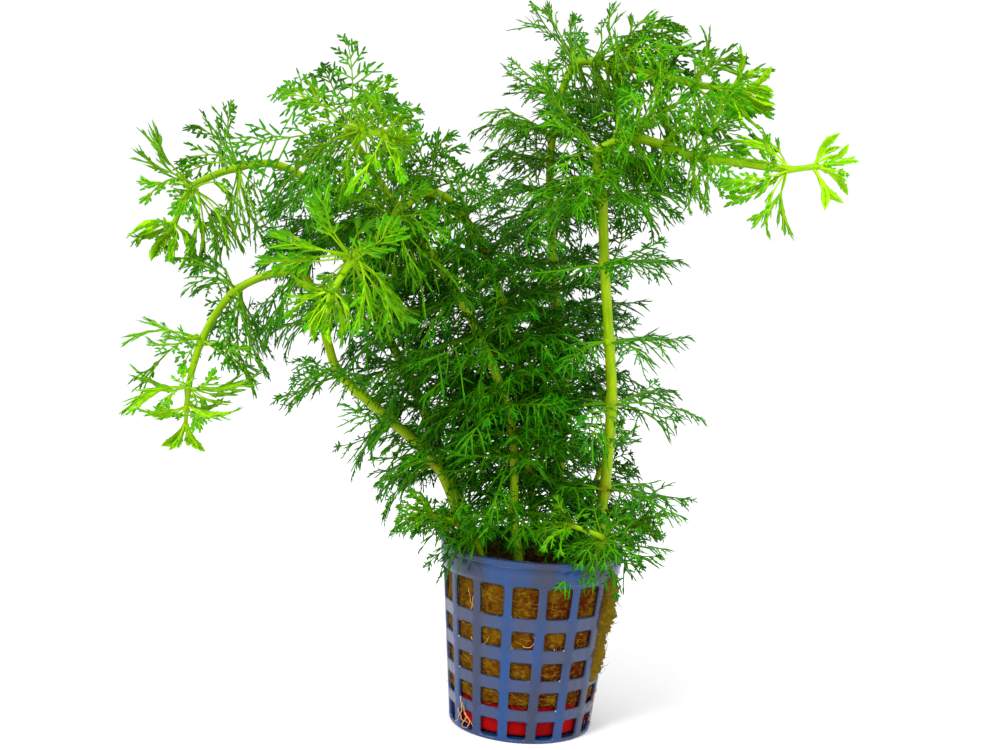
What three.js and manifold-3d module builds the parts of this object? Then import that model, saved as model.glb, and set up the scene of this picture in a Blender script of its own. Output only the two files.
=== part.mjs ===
// Limnophila heterophylla, an aquarium stem plant, growing in a small net pot.
// Six tall stems and five short side shoots stand in a plug of rock wool. Finely cut leaves
// stand round each stem in whorls, one whorl to a node, and the upper ends of the stems bend over.
// Units are millimetres, +Z is up, +Y is away from the viewer, and the origin is the middle of
// the pot's underside.

import * as THREE from "three";
import { mergeVertices } from "three/addons/utils/BufferGeometryUtils.js";
import Module from "manifold-3d";

const wasm = await Module();
wasm.setup();

const { cos, sin, PI } = Math;
const degrees = (d) => (d * PI) / 180;
const point = (x, y, z) => new THREE.Vector3(x, y, z);
const UP = point(0, 0, 1);

// Driving dimensions

const GAP = 0.4; // between pieces that sit in or round each other

const POT = {
  height: 51,
  rimRadius: 25.5,
  baseRadius: 20.2,
  wall: 1.1,
  columns: 16,
  windowTurn: degrees(13.8),
  firstColumn: degrees(-3.5), // the middle of the front window, turned from the front
  sills: [1.0, 9.2, 17.8, 26.5, 35.2], // the lowest are level with the top of the floor
  lintels: [5.9, 14.2, 22.6, 31.3, 43.7],
  bandStep: 0.5, // how far the plain band over the windows stands out
  bandSlope: 1, // height over which it does
  slots: [5.5, 15], // from and to, along the floor's radius
};

const PAD = { bottom: 1.4, top: 10, edge: 0.7, sides: 20 };

const WOOL = {
  bottom: 10.4,
  top: 47.5,
  dome: 0.4,
  shoulder: 1.6,
  slack: 0.6, // to the pot's wall
  lump: 0.5,
  sides: 18,
  levels: 6,
  tuftColumn: 3, // counted from the front column, towards +X
  tuftReach: [3.4, 3.2], // to each side, and in and out
  tufts: [
    { middle: 12.6, half: 3.4, out: -0.6 }, // out is from the pot's wall
    { middle: 20.2, half: 4.0, out: -0.2 },
    { middle: 28.9, half: 4.4, out: 0.2 },
    { middle: 36.6, half: 8.6, out: 0.5 },
  ],
};

// foot, top and tip are radii: in the wool, where the soft tip begins, and at the bud.
const STEM = { sides: 6, stepsPerSpan: 2, foot: 1.7, top: 1.1, tip: 0.6 };

const COLLAR = { height: 1.8, wall: 1.0 };

const LEAF = {
  neckAt: 0.12, // share of the way from the collar to the widest place
  widestAt: 0.6, // share of the leaf's length
  width: 0.24, // share of the leaf's length
  thickness: 0.8,
  sway: degrees(6), // how unevenly the leaves of a whorl stand
  uneven: 0.12, // and how unevenly long they are
};

// Stems, each a list of places from the foot in the wool to the end of its growing tip. The
// places from the second up to tipFrom are leaf nodes, apart from the ones in bends. length and
// open are the lower leaves' length and their angle from the stem, and then the upper leaves'.

const STEMS = [
  {
    name: "right_front",
    places: [
      [17, -4, 40], [19, -4, 69], [19, -6, 93], [17, -7, 110], [14, -8, 131], [12, -9, 149],
      [10, -10, 161], [20, -14, 165], [35, -16, 161], [47, -18, 160], [59, -20, 159], [66, -21, 160],
      [68, -21.5, 160],
    ],
    tipFrom: 9,
    bends: [],
    length: [25, 19],
    open: [82, 90],
    droop: 0.28,
  },
  {
    name: "right_back",
    places: [
      [6, 12, 40], [7, 14, 91], [3, 15, 117], [-1, 16, 145], [-2, 15, 168], [3, 11, 187.5],
      [14, 6, 187], [36, 0, 182.5], [41, -1, 182], [46, -3, 182], [49, -4, 181],
    ],
    tipFrom: 8,
    bends: [],
    length: [25, 19],
    open: [80, 86],
    droop: 0.22,
  },
  {
    name: "upper_left",
    places: [
      [-12, 9, 40], [-35, 13, 88], [-52, 14, 116], [-62, 12, 133], [-70, 9, 148], [-80, 6, 153],
      [-90, 2, 151], [-101, -3, 144.5], [-103, -4, 140], [-105, -5, 134], [-106, -6, 131],
    ],
    tipFrom: 8,
    bends: [5],
    length: [24, 18],
    open: [78, 86],
    droop: 0.15,
  },
  {
    name: "lower_left",
    places: [
      [-14, -4, 40], [-29, -5, 73], [-57, -5, 96], [-63, -6, 112], [-69, -8, 123], [-85.5, -12, 117],
      [-93.5, -14, 103], [-95, -15, 97], [-96, -16, 90], [-96, -16.5, 85], [-96, -17, 80],
    ],
    tipFrom: 7,
    bends: [],
    length: [24, 17],
    open: [76, 86],
    droop: 0.15,
  },
  {
    name: "middle",
    places: [
      [-2, -12, 40], [-6, -13, 62], [-7, -14, 78], [-10, -15, 91], [-19, -16, 110], [-31, -19, 128],
      [-44, -23, 144], [-52, -26, 155], [-55, -31, 160], [-54, -36, 160.5], [-50, -44, 159],
      [-44, -52, 157], [-42, -55, 156],
    ],
    tipFrom: 9,
    bends: [7],
    length: [23, 21],
    open: [78, 84],
    droop: 0.2,
  },
  {
    name: "arching",
    places: [
      [4, 1, 40], [-4, 0, 80], [-8, -3, 103], [-19, -8, 132], [-27, -15, 143], [-34, -24, 146.5],
      [-43, -33, 138], [-51, -41, 127], [-53, -44, 123], [-55, -46, 119], [-56, -47, 115],
    ],
    tipFrom: 8,
    bends: [4],
    length: [24, 18],
    open: [78, 84],
    droop: 0.2,
  },
];

// The whorls of a growing tip, counted back from its end: length, angle from the stem and droop.
const YOUNG_WHORLS = [
  { length: 9, open: 22, droop: 0 },
  { length: 11, open: 68, droop: 0.1 },
  { length: 16, open: 88, droop: 0.1 },
];

const SHOOT_OPEN = [74, 35];
const SHOOT_DROOP = 0.2;

const SHOOTS = [
  {
    name: "front_right_shoot",
    places: [[13, -13, 42], [17, -17, 54], [18, -22, 58], [9, -27, 62]],
    length: [15, 11],
  },
  {
    name: "front_left_shoot",
    places: [[-12, -12, 42], [-16, -15, 54], [-22, -19, 59], [-28, -22, 61]],
    length: [18, 12],
  },
  {
    name: "right_shoot",
    places: [[19, 5, 42], [21, 5, 54], [25, 3, 59], [29, 0, 59]],
    length: [15, 11],
  },
  {
    name: "back_shoot",
    places: [[-5, 15, 42], [-5, 23, 66], [-1, 31, 88], [4, 36, 108], [2, 42, 124]],
    length: [22, 13],
  },
  {
    name: "back_right_shoot",
    places: [[13, 14, 42], [16, 20, 58], [20, 27, 70], [23, 32, 77]],
    length: [17, 11],
  },
];

// Meshes and solids

const flat = (triangles) =>
  new THREE.BufferGeometry().setAttribute(
    "position",
    new THREE.Float32BufferAttribute(triangles.flatMap((v) => [v.x, v.y, v.z]), 3),
  );

const quad = (a, b, c, d) => [a, b, c, a, c, d];

const bareSide = (corners) => quad(...corners);

// Turns a closed geometry into a solid that can be joined and cut.
function solid(geometry) {
  const bare = geometry.clone();
  bare.deleteAttribute("normal");
  bare.deleteAttribute("uv");
  const merged = mergeVertices(bare, 1e-3);
  return new wasm.Manifold(
    new wasm.Mesh({
      numProp: 3,
      vertProperties: merged.attributes.position.array,
      triVerts: new Uint32Array(merged.index.array),
    }),
  );
}

function geometryOf(made) {
  const mesh = made.getMesh();
  return new THREE.BufferGeometry()
    .setAttribute("position", new THREE.BufferAttribute(mesh.vertProperties, 3))
    .setIndex(new THREE.BufferAttribute(mesh.triVerts, 1));
}

// Skins rings that run anticlockwise round the way ahead, from a foot point to an end point.
// Each side between two rings is flat, unless growOn gives what grows out of its four corners.
function loft(rings, foot, end, growOn = bareSide) {
  const triangles = [];
  const last = rings.length - 1;
  const sides = rings[0].length;
  for (let j = 0; j < sides; j++) {
    const k = (j + 1) % sides;
    if (foot) triangles.push(foot, rings[0][k], rings[0][j]);
    for (let i = 0; i < last; i++)
      triangles.push(...growOn([rings[i][j], rings[i][k], rings[i + 1][k], rings[i + 1][j]], i, j));
    triangles.push(rings[last][j], rings[last][k], end);
  }
  return triangles;
}

// A ring round a frame's way ahead, turned by an angle and raised along it.
const ring = ({ at, ahead, across, along }, radius, sides, turn = 0, rise = 0) =>
  Array.from({ length: sides }, (_, i) => {
    const angle = turn + (2 * PI * i) / sides;
    return at
      .clone()
      .addScaledVector(across, radius * cos(angle))
      .addScaledVector(along, radius * sin(angle))
      .addScaledVector(ahead, rise);
  });

// A repeatable number from -1 to 1 for each pair of seeds.
function jitter(seed, part) {
  const n = sin(seed * 127.1 + part * 311.7) * 43758.5453;
  return 2 * (n - Math.floor(n)) - 1;
}

const blend = (range, share) => range[0] + (range[1] - range[0]) * share;

// Net pot: a grid of cells round the wall, some of them windows, on a floor with radial slots

const potRadius = (z) => POT.baseRadius + ((POT.rimRadius - POT.baseRadius) * z) / POT.height;

const around = (turn, radius, z) => point(radius * sin(turn), -radius * cos(turn), z);

// The pot, or with grow over 0 the same pot grown all over by that much, to cut others clear of it.
function netPot(grow = 0) {
  const pitch = (2 * PI) / POT.columns;
  const half = POT.windowTurn / 2 - grow / potRadius(POT.height / 2);
  const turns = [];
  for (let c = 0; c < POT.columns; c++) {
    const middle = POT.firstColumn + c * pitch;
    turns.push(middle - half, middle + half);
  }
  const levels = [-grow];
  POT.sills.forEach((sill, row) => levels.push(sill + grow, POT.lintels[row] - grow));
  const bandFoot = levels.at(-1);
  levels.push(bandFoot + POT.bandSlope, POT.height + grow);

  const outerAt = (z) => potRadius(z) + grow + (z > bandFoot ? POT.bandStep : 0);
  const innerAt = (z) => potRadius(z) - POT.wall - grow;
  const outer = levels.map((z) => turns.map((turn) => around(turn, outerAt(z), z)));
  const inner = levels.map((z) => turns.map((turn) => around(turn, innerAt(z), z)));
  const isWindow = (column, level) => column % 2 === 0 && level % 2 === 1 && level < levels.length - 2;
  const sides = turns.length;
  const triangles = [];

  for (let j = 0; j < levels.length - 1; j++)
    for (let i = 0; i < sides; i++) {
      const k = (i + 1) % sides;
      if (!isWindow(i, j)) {
        triangles.push(...quad(outer[j][i], outer[j][k], outer[j + 1][k], outer[j + 1][i]));
        if (j > 0) triangles.push(...quad(inner[j][k], inner[j][i], inner[j + 1][i], inner[j + 1][k]));
        continue;
      }
      triangles.push(
        ...quad(outer[j][i], outer[j][k], inner[j][k], inner[j][i]),
        ...quad(outer[j + 1][k], outer[j + 1][i], inner[j + 1][i], inner[j + 1][k]),
        ...quad(outer[j + 1][i], outer[j][i], inner[j][i], inner[j + 1][i]),
        ...quad(outer[j][k], outer[j + 1][k], inner[j + 1][k], inner[j][k]),
      );
    }

  const rim = levels.length - 1;
  for (let i = 0; i < sides; i++) {
    const k = (i + 1) % sides;
    triangles.push(...quad(outer[rim][i], outer[rim][k], inner[rim][k], inner[rim][i]));
  }

  // Floor: a middle disc, a ring of slots between spokes, and an outer ring to the wall.
  const under = POT.slots.map((radius) => turns.map((turn) => around(turn, radius, levels[0])));
  const over = POT.slots.map((radius) => turns.map((turn) => around(turn, radius, levels[1])));
  under.push(outer[0]);
  over.push(inner[1]);
  const middleUnder = point(0, 0, levels[0]);
  const middleOver = point(0, 0, levels[1]);
  for (let i = 0; i < sides; i++) {
    const k = (i + 1) % sides;
    triangles.push(middleUnder, under[0][k], under[0][i], middleOver, over[0][i], over[0][k]);
    triangles.push(...quad(under[1][i], under[1][k], under[2][k], under[2][i]));
    triangles.push(...quad(over[1][i], over[2][i], over[2][k], over[1][k]));
    if (i % 2 === 1) {
      triangles.push(...quad(under[0][i], under[0][k], under[1][k], under[1][i]));
      triangles.push(...quad(over[0][i], over[1][i], over[1][k], over[0][k]));
      continue;
    }
    triangles.push(
      ...quad(under[0][i], under[0][k], over[0][k], over[0][i]),
      ...quad(under[1][k], under[1][i], over[1][i], over[1][k]),
      ...quad(under[1][i], under[0][i], over[0][i], over[1][i]),
      ...quad(under[0][k], under[1][k], over[1][k], over[0][k]),
    );
  }
  return flat(triangles);
}

// The pad under the wool, or with grow over 0 the same pad grown by that much.
function basePad(grow = 0) {
  const inside = (z) => potRadius(z) - POT.wall - GAP + grow;
  const bottom = PAD.bottom - grow;
  const top = PAD.top + grow;
  const profile = [
    new THREE.Vector2(0, bottom),
    new THREE.Vector2(inside(bottom) - PAD.edge, bottom),
    new THREE.Vector2(inside(bottom), bottom + PAD.edge),
    new THREE.Vector2(inside(bottom), top - PAD.edge),
    new THREE.Vector2(inside(bottom) - PAD.edge, top),
    new THREE.Vector2(0, top),
  ];
  return new THREE.LatheGeometry(profile, PAD.sides).rotateX(PI / 2);
}

// Rock wool: a lumpy plug with sockets for the stems and tufts that come out of a few windows

function woolPlug(sockets) {
  const rings = [];
  for (let level = 0; level < WOOL.levels; level++) {
    const share = level / (WOOL.levels - 1);
    const z = WOOL.bottom + (WOOL.top - WOOL.bottom) * share;
    const rounding = level === WOOL.levels - 1 ? WOOL.shoulder : 0;
    rings.push(
      Array.from({ length: WOOL.sides }, (_, i) => {
        const lump = (WOOL.lump * (1 + jitter(level, i))) / 2;
        const radius = potRadius(z) - POT.wall - WOOL.slack - lump - rounding;
        return around((2 * PI * i) / WOOL.sides, radius, z);
      }),
    );
  }
  const top = point(0, 0, WOOL.top + WOOL.dome);
  let wool = solid(flat(loft(rings, point(0, 0, WOOL.bottom), top)));

  const turn = POT.firstColumn + (WOOL.tuftColumn * 2 * PI) / POT.columns;
  for (const { middle, half, out } of WOOL.tufts) {
    const tuft = new THREE.SphereGeometry(1, 8, 6)
      .rotateX(PI / 2)
      .scale(...WOOL.tuftReach, half)
      .rotateZ(turn)
      .translate(...around(turn, potRadius(middle) + out, middle).toArray());
    wool = wool.add(solid(tuft));
  }
  wool = wool.subtract(solid(netPot(GAP))).subtract(solid(basePad(GAP)));
  for (const socket of sockets) wool = wool.subtract(socket);
  return geometryOf(wool.decompose().sort((a, b) => b.volume() - a.volume())[0]);
}

// Stems

// Frames along a stem: the point, the way ahead and two directions across, untwisted.
function framesAlong(places, firstSpan, lastSpan, steps) {
  const curve = new THREE.CatmullRomCurve3(places.map((p) => point(...p)));
  const spans = places.length - 1;
  const frames = [];
  let across = point(0, -1, 0);
  for (let step = 0; step <= (lastSpan - firstSpan) * steps; step++) {
    const t = (firstSpan + step / steps) / spans;
    const ahead = curve.getTangent(t);
    across = across.clone().addScaledVector(ahead, -across.dot(ahead)).normalize();
    const along = ahead.clone().cross(across);
    frames.push({ at: curve.getPoint(t), ahead, across, along });
  }
  return frames;
}

function bareStem(frames, footRadius, endRadius) {
  const last = frames.length - 1;
  const rings = frames.map((f, i) => ring(f, blend([footRadius, endRadius], i / last), STEM.sides));
  return flat(loft(rings, frames[0].at, frames[last].at));
}

// Leaves and whorls

// One leaf's section at its widest and its end point, from the four corners that it grows out of.
function leafForm(corners, axis, leaf, swell = 0) {
  const root = corners.reduce((sum, c) => sum.add(c), point(0, 0, 0)).multiplyScalar(0.25);
  const at = (s) =>
    root
      .clone()
      .addScaledVector(leaf.out, s * leaf.length)
      .addScaledVector(UP, -leaf.droop * s * s * leaf.length);
  const ahead = leaf.out.clone().addScaledVector(UP, -2 * leaf.droop * LEAF.widestAt).normalize();
  const across = axis.clone().cross(leaf.out);
  across.addScaledVector(ahead, -across.dot(ahead)).normalize();
  const above = ahead.clone().cross(across);
  const w = (LEAF.width * leaf.length) / 2 + swell;
  const t = LEAF.thickness / 2 + swell;
  const widest = [[-w, -t], [w, -t], [w, t], [-w, t]].map(([a, b]) =>
    at(LEAF.widestAt).addScaledVector(across, a).addScaledVector(above, b),
  );
  return { widest, tip: at(1 + swell / leaf.length) };
}

// A leaf by itself, swollen by a margin and free of its collar, to see whether it has room.
function leafBody(corners, axis, leaf, swell) {
  const { widest, tip } = leafForm(corners, axis, leaf, swell);
  const neck = corners.map((corner, i) => corner.clone().lerp(widest[i], LEAF.neckAt));
  const foot = neck.reduce((sum, c) => sum.add(c), point(0, 0, 0)).multiplyScalar(0.25);
  const geometry = flat(loft([neck, widest], foot, tip));
  geometry.computeBoundingBox();
  return { box: geometry.boundingBox, body: solid(geometry) };
}

const obstacles = [];

function addObstacle(geometry) {
  geometry.computeBoundingBox();
  obstacles.push({ box: geometry.boundingBox, body: solid(geometry) });
}

function hasRoom({ box, body }) {
  return obstacles.every((other) => !box.intersectsBox(other.box) || body.intersect(other.body).isEmpty());
}

// The small turns that a leaf tries, in order, until it touches nothing.
const TRIES = [];
for (const shorten of [1, 0.85, 0.7])
  for (const lift of [0, 9, -9, 18, -18, 27])
    for (const turn of [0, 8, -8, 16, -16]) TRIES.push({ shorten, lift, turn });

// The leaf that grows from one side of a whorl: the first of its tries at a place with room.
function leafAt(site, corners, i) {
  const { ahead, across, along } = site.frame;
  const middle = site.turn + (2 * PI * (i + 0.5)) / site.leaves + LEAF.sway * jitter(site.seed, i);
  const tilt = degrees(site.open) + LEAF.sway * jitter(site.seed, i + 50);
  const reach = site.length * (1 + LEAF.uneven * jitter(site.seed, i + 90));
  const leafFor = ({ shorten, lift, turn }) => {
    const heading = middle + degrees(turn);
    const lean = tilt - degrees(lift);
    const out = ahead
      .clone()
      .multiplyScalar(cos(lean))
      .addScaledVector(across, sin(lean) * cos(heading))
      .addScaledVector(along, sin(lean) * sin(heading));
    return { out, length: reach * shorten, droop: site.droop };
  };
  return TRIES.map(leafFor).find((leaf) => hasRoom(leafBody(corners, ahead, leaf, GAP)));
}

// What grows from the four corners of one side of a whorl: a leaf, or nothing where none has room.
function growLeaf(corners, side, site) {
  const { ahead } = site.frame;
  const leaf = leafAt(site, corners, side);
  if (!leaf) return bareSide(corners);
  obstacles.push(leafBody(corners, ahead, leaf, 0));
  const { widest, tip } = leafForm(corners, ahead, leaf);
  return loft([corners, widest], null, tip);
}

// A collar of leaf bases round a node, three-sided in section with an edge towards the stem, and
// what grows from each of its outer sides.
function whorl(site, growOn = bareSide) {
  const spread = 1 / cos(PI / site.leaves);
  const at = (radius, rise) => ring(site.frame, radius * spread, site.leaves, site.turn, rise);
  const h = COLLAR.height / 2;
  const under = at(site.hole + COLLAR.wall, -h);
  const over = at(site.hole + COLLAR.wall, h);
  const edge = at(site.hole, 0);
  return flat(
    over.flatMap((_, i) => {
      const k = (i + 1) % site.leaves;
      return [
        ...quad(over[i], over[k], edge[k], edge[i]),
        ...quad(under[i], edge[i], edge[k], under[k]),
        ...growOn([under[i], under[k], over[k], over[i]], i, site),
      ];
    }),
  );
}

// A young stem with its whorls in one piece. Leaves grow out of the sides of the short bands at its
// nodes, and the stem's sides twist with them from each node to the next.
function youngStem({ frames, radii, sites }, growOn = bareSide) {
  const last = frames.length - 1;
  const sides = sites[0].leaves;
  const h = COLLAR.height / 2;
  const rings = [];
  const siteOfBand = new Map();
  let turn = sites[0].turn;
  frames.forEach((frame, i) => {
    const radius = blend(radii, i / last);
    const site = sites.find((one) => one.frame === frame);
    if (!site) {
      rings.push(ring(frame, radius, sides, turn));
      return;
    }
    turn = site.turn;
    siteOfBand.set(rings.length, site);
    rings.push(ring(frame, radius, sides, turn, -h), ring(frame, radius, sides, turn, h));
  });
  const bud = frames[last].at.clone().addScaledVector(frames[last].ahead, COLLAR.height);
  return flat(
    loft(rings, frames[0].at, bud, (corners, band, side) =>
      siteOfBand.has(band) ? growOn(corners, side, siteOfBand.get(band)) : bareSide(corners),
    ),
  );
}

// Where the whorls stand on each stem

function oldWhorls(stem, index, frames) {
  const sites = [];
  for (let place = 1; place < stem.tipFrom; place++) {
    if (stem.bends.includes(place)) continue;
    const share = (place - 1) / (stem.tipFrom - 1);
    sites.push({
      frame: frames[place * STEM.stepsPerSpan],
      hole: blend([STEM.foot, STEM.top], place / stem.tipFrom) + GAP,
      leaves: place % 2 ? 6 : 7,
      turn: 10 * index + place,
      length: blend(stem.length, share),
      open: blend(stem.open, share),
      droop: stem.droop,
      seed: 10 * index + place,
    });
  }
  return sites;
}

function growingTip(stem, index) {
  const spans = stem.places.length - 1;
  const frames = framesAlong(stem.places, stem.tipFrom, spans, STEM.stepsPerSpan);
  frames[0].at.addScaledVector(frames[0].ahead, GAP);
  const sites = [];
  for (let place = stem.tipFrom + 1; place <= spans; place++)
    sites.push({
      ...YOUNG_WHORLS[spans - place],
      frame: frames[(place - stem.tipFrom) * STEM.stepsPerSpan],
      leaves: 6,
      turn: ((place % 2) * PI) / 6,
      seed: 10 * index + place,
    });
  return { frames, radii: [STEM.top, STEM.tip], sites };
}

function shootGrowth(shoot, index) {
  const spans = shoot.places.length - 1;
  const frames = framesAlong(shoot.places, 0, spans, STEM.stepsPerSpan);
  const sites = [];
  for (let place = 1; place <= spans; place++) {
    const share = (place - 1) / (spans - 1);
    sites.push({
      frame: frames[place * STEM.stepsPerSpan],
      leaves: 6,
      turn: ((place % 2) * PI) / 6,
      length: blend(shoot.length, share),
      open: blend(SHOOT_OPEN, share),
      droop: SHOOT_DROOP,
      seed: 200 + 10 * index + place,
    });
  }
  return { frames, radii: [STEM.top, STEM.tip], sites };
}

// Materials and assembly

const look = (colour, roughness) =>
  new THREE.MeshStandardMaterial({ color: new THREE.Color(...colour), roughness, metalness: 0 });

const MATERIALS = {
  pot: look([0.13, 0.17, 0.33], 0.42),
  wool: look([0.3, 0.2, 0.05], 0.95),
  pad: look([0.55, 0.02, 0.02], 0.6),
  stem: look([0.4, 0.55, 0.06], 0.45),
  leaf: look([0.07, 0.28, 0.02], 0.5),
  youngLeaf: look([0.25, 0.5, 0.03], 0.45),
};

const plant = new THREE.Group();

function addNode(name, geometry, material) {
  const mesh = new THREE.Mesh(geometry, material);
  mesh.name = name;
  plant.add(mesh);
}

// The hole in the wool that a stem's foot stands in.
function socketFor(places, radius) {
  const feet = framesAlong(places, 0, 1, STEM.stepsPerSpan);
  feet[0].at.addScaledVector(feet[0].ahead, -GAP);
  return solid(bareStem(feet, radius + GAP, radius + GAP));
}

const tallStems = STEMS.map((stem, index) => {
  const frames = framesAlong(stem.places, 0, stem.tipFrom, STEM.stepsPerSpan);
  return {
    name: stem.name,
    geometry: bareStem(frames, STEM.foot, STEM.top),
    whorls: oldWhorls(stem, index, frames),
    tip: growingTip(stem, index),
  };
});
const shoots = SHOOTS.map((shoot, index) => ({ name: shoot.name, growth: shootGrowth(shoot, index) }));

const potGeometry = netPot();
const woolGeometry = woolPlug([
  ...STEMS.map((stem) => socketFor(stem.places, STEM.foot)),
  ...SHOOTS.map((shoot) => socketFor(shoot.places, STEM.top)),
]);
addNode("net_pot", potGeometry, MATERIALS.pot);
addNode("red_base_pad", basePad(), MATERIALS.pad);
addNode("rockwool_plug", woolGeometry, MATERIALS.wool);

// All that a leaf must keep off stands before the first leaf is placed.
addObstacle(potGeometry);
addObstacle(woolGeometry);
for (const { geometry, whorls, tip } of tallStems) {
  addObstacle(geometry);
  addObstacle(youngStem(tip));
  whorls.forEach((site) => addObstacle(whorl(site)));
}
shoots.forEach(({ growth }) => addObstacle(youngStem(growth)));

for (const { name, geometry, whorls, tip } of tallStems) {
  addNode(`${name}_stem`, geometry, MATERIALS.stem);
  whorls.forEach((site, i) => addNode(`${name}_whorl_${i + 1}`, whorl(site, growLeaf), MATERIALS.leaf));
  addNode(`${name}_growing_tip`, youngStem(tip, growLeaf), MATERIALS.youngLeaf);
}
shoots.forEach(({ name, growth }) => addNode(name, youngStem(growth, growLeaf), MATERIALS.leaf));

export default plant;
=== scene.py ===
"""Limnophila heterophylla, an aquarium stem plant, growing in a small net pot.

Six tall stems and five short side shoots stand in rock wool. Every whorl of finely cut leaves is
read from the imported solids, so each leaf starts where it does there, with about the same length
and droop, and is dressed here with its petiole, ribs and lobes. Shorter leaves stand between them.
Lengths in the tables are millimetres.
"""

import math

import bmesh
import bpy
import numpy as np
from mathutils import Matrix, Vector, noise


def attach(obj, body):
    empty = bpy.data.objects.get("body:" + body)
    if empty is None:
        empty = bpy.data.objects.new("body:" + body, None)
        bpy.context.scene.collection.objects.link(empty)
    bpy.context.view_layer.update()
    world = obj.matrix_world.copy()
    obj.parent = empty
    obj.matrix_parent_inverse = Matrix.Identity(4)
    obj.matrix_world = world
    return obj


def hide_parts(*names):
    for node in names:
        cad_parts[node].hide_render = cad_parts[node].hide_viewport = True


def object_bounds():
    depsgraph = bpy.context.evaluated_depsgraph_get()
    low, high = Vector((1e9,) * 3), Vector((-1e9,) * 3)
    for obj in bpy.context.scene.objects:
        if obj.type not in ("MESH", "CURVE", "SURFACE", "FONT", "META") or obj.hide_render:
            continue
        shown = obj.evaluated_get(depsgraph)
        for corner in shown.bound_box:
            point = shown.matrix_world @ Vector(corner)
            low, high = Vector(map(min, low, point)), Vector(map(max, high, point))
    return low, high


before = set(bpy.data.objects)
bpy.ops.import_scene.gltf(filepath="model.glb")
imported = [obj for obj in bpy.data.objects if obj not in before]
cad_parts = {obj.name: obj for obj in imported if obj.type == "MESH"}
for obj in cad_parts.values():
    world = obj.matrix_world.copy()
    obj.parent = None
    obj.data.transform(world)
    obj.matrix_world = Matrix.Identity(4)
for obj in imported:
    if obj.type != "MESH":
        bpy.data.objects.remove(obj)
CAD_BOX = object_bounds()

MM = 0.001
UP = np.array([0.0, 0.0, 1.0])
# Nothing of a leaf but the points of its lobes comes nearer to the solids' box than this.
CLEARANCE = 1.2 * MM
LOW, HIGH = np.array(CAD_BOX[0]) + CLEARANCE, np.array(CAD_BOX[1]) - CLEARANCE

# The camera, at the photograph's viewing angle

CAMERA = {"place": (-12.4, -365.0, 124.4), "down": 4.1, "roll": 4.0, "lens": 46.8}

# The net pot's sizes, as in the solids

POT = {
    "height": 51.0, "rim": 25.5, "base": 20.2, "wall": 1.1, "columns": 16,
    "windows": [14.7, 15.1, 15.3, 15.4, 16.9], "first": -3.5,
    "sills": [1.0, 9.2, 17.8, 26.5, 35.2], "lintels": [5.9, 14.2, 22.6, 31.3, 43.7],
    "band_step": 0.5, "slots": [5.5, 15.0], "floor": 1.0,
    "corner": 0.7, "edge": 0.3, "weld": 0.004,
    # How far the crossbars lie back from the ribs, and to what turn from a column's middle. It
    # fades out over the last degrees of that, and over the millimetres next to foot and band.
    "recess": 0.28, "recess_to": 7.6, "recess_slope": 1.6, "recess_rise": 0.6,
    "smooth_to": 38.0,  # edges that turn by more degrees are sharp
}
PITCH = 2 * math.pi / POT["columns"]
HALF_WINDOWS = [math.radians(w / 2) for w in POT["windows"]]
FIRST_COLUMN = math.radians(POT["first"])

PAD = {"bottom": 1.4, "top": 10.0, "slack": 0.4, "edge": 1.0, "rows": 22, "around": 120}
WOOL = {
    "bottom": 10.4, "top": 47.5, "slack": 0.55, "bulge": 0.7, "rows": 72, "around": 208,
    "fibres": 1.9e5,  # on a square metre
    # Its side ends this far under its top, and over that it has two smaller rings, given by
    # their size and how far they are under the top.
    "side_end": 1.2, "rings": [(0.94, 0.5), (0.75, 0.1)],
    # Over one column a strip of it swells out through the windows and over the crossbars.
    "strip_column": 3, "strip_half": 3.6,
    "strip_at": [14.0, 18.0, 22.0, 26.5, 28.5, 31.0, 36.0, 42.0, 46.0],
    "strip_out": [-1.0, 0.5, 1.3, 1.2, 0.2, 1.8, 2.2, 1.8, 0.6],
}
# Loose strands and roots: turn in degrees, height, length, the way they run in degrees, and how
# far they bend on their way. The last says whether they hang over the outside of the wall.
STRANDS = [
    (-45, 41.0, 11, -86, 30, 0), (-41, 39.0, 12, -94, -40, 0), (-43, 27.5, 8, -60, 140, 0),
    (-39, 24.0, 7, -110, -160, 0), (-62, 38.0, 9, -88, 25, 0), (-3, 27.5, 6, -30, 150, 0),
    (-1, 26.0, 7, -150, -140, 0), (-5, 25.0, 6, -60, 170, 0), (19, 27.0, 5, -70, 120, 0),
    (-52, 9.6, 9, -84, 50, 1), (-50, 8.0, 8, -100, -70, 1), (-47, 5.5, 7, -40, -90, 1),
    (-55, 6.0, 6, -95, 120, 1), (-44, 4.6, 6, -150, 80, 1), (66, 6.0, 6, -80, 60, 1),
    (70, 13.0, 7, -85, -40, 1), (84, 30.0, 9, -70, 60, 1), (86, 22.0, 8, -100, -70, 1),
]

# How thick a loose strand is, and a root.
STRAND_THICK, ROOT_THICK = 0.12, 0.17

# The plant

STEMS = ["right_front", "right_back", "upper_left", "lower_left", "middle", "arching"]
SHOOTS = ["front_right_shoot", "front_left_shoot", "right_shoot", "back_shoot", "back_right_shoot"]
# How many of the gaps between a whorl's read leaves hold one more leaf.
# The first is for its lower whorls, the second for the rest.
FULLNESS = {
    "lower_left": (0.45, 0.6), "upper_left": (0.9, 0.65), "right_front": (0.25, 1.0),
    "middle": (1.0, 0.7),
}
LOWER_WHORLS = 4
# How thick a dressed stem is against its solid.
SLIMNESS = {
    "right_front": 0.95, "right_back": 0.82, "upper_left": 0.85, "lower_left": 0.85, "middle": 0.76,
    "arching": 0.78,
}
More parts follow.
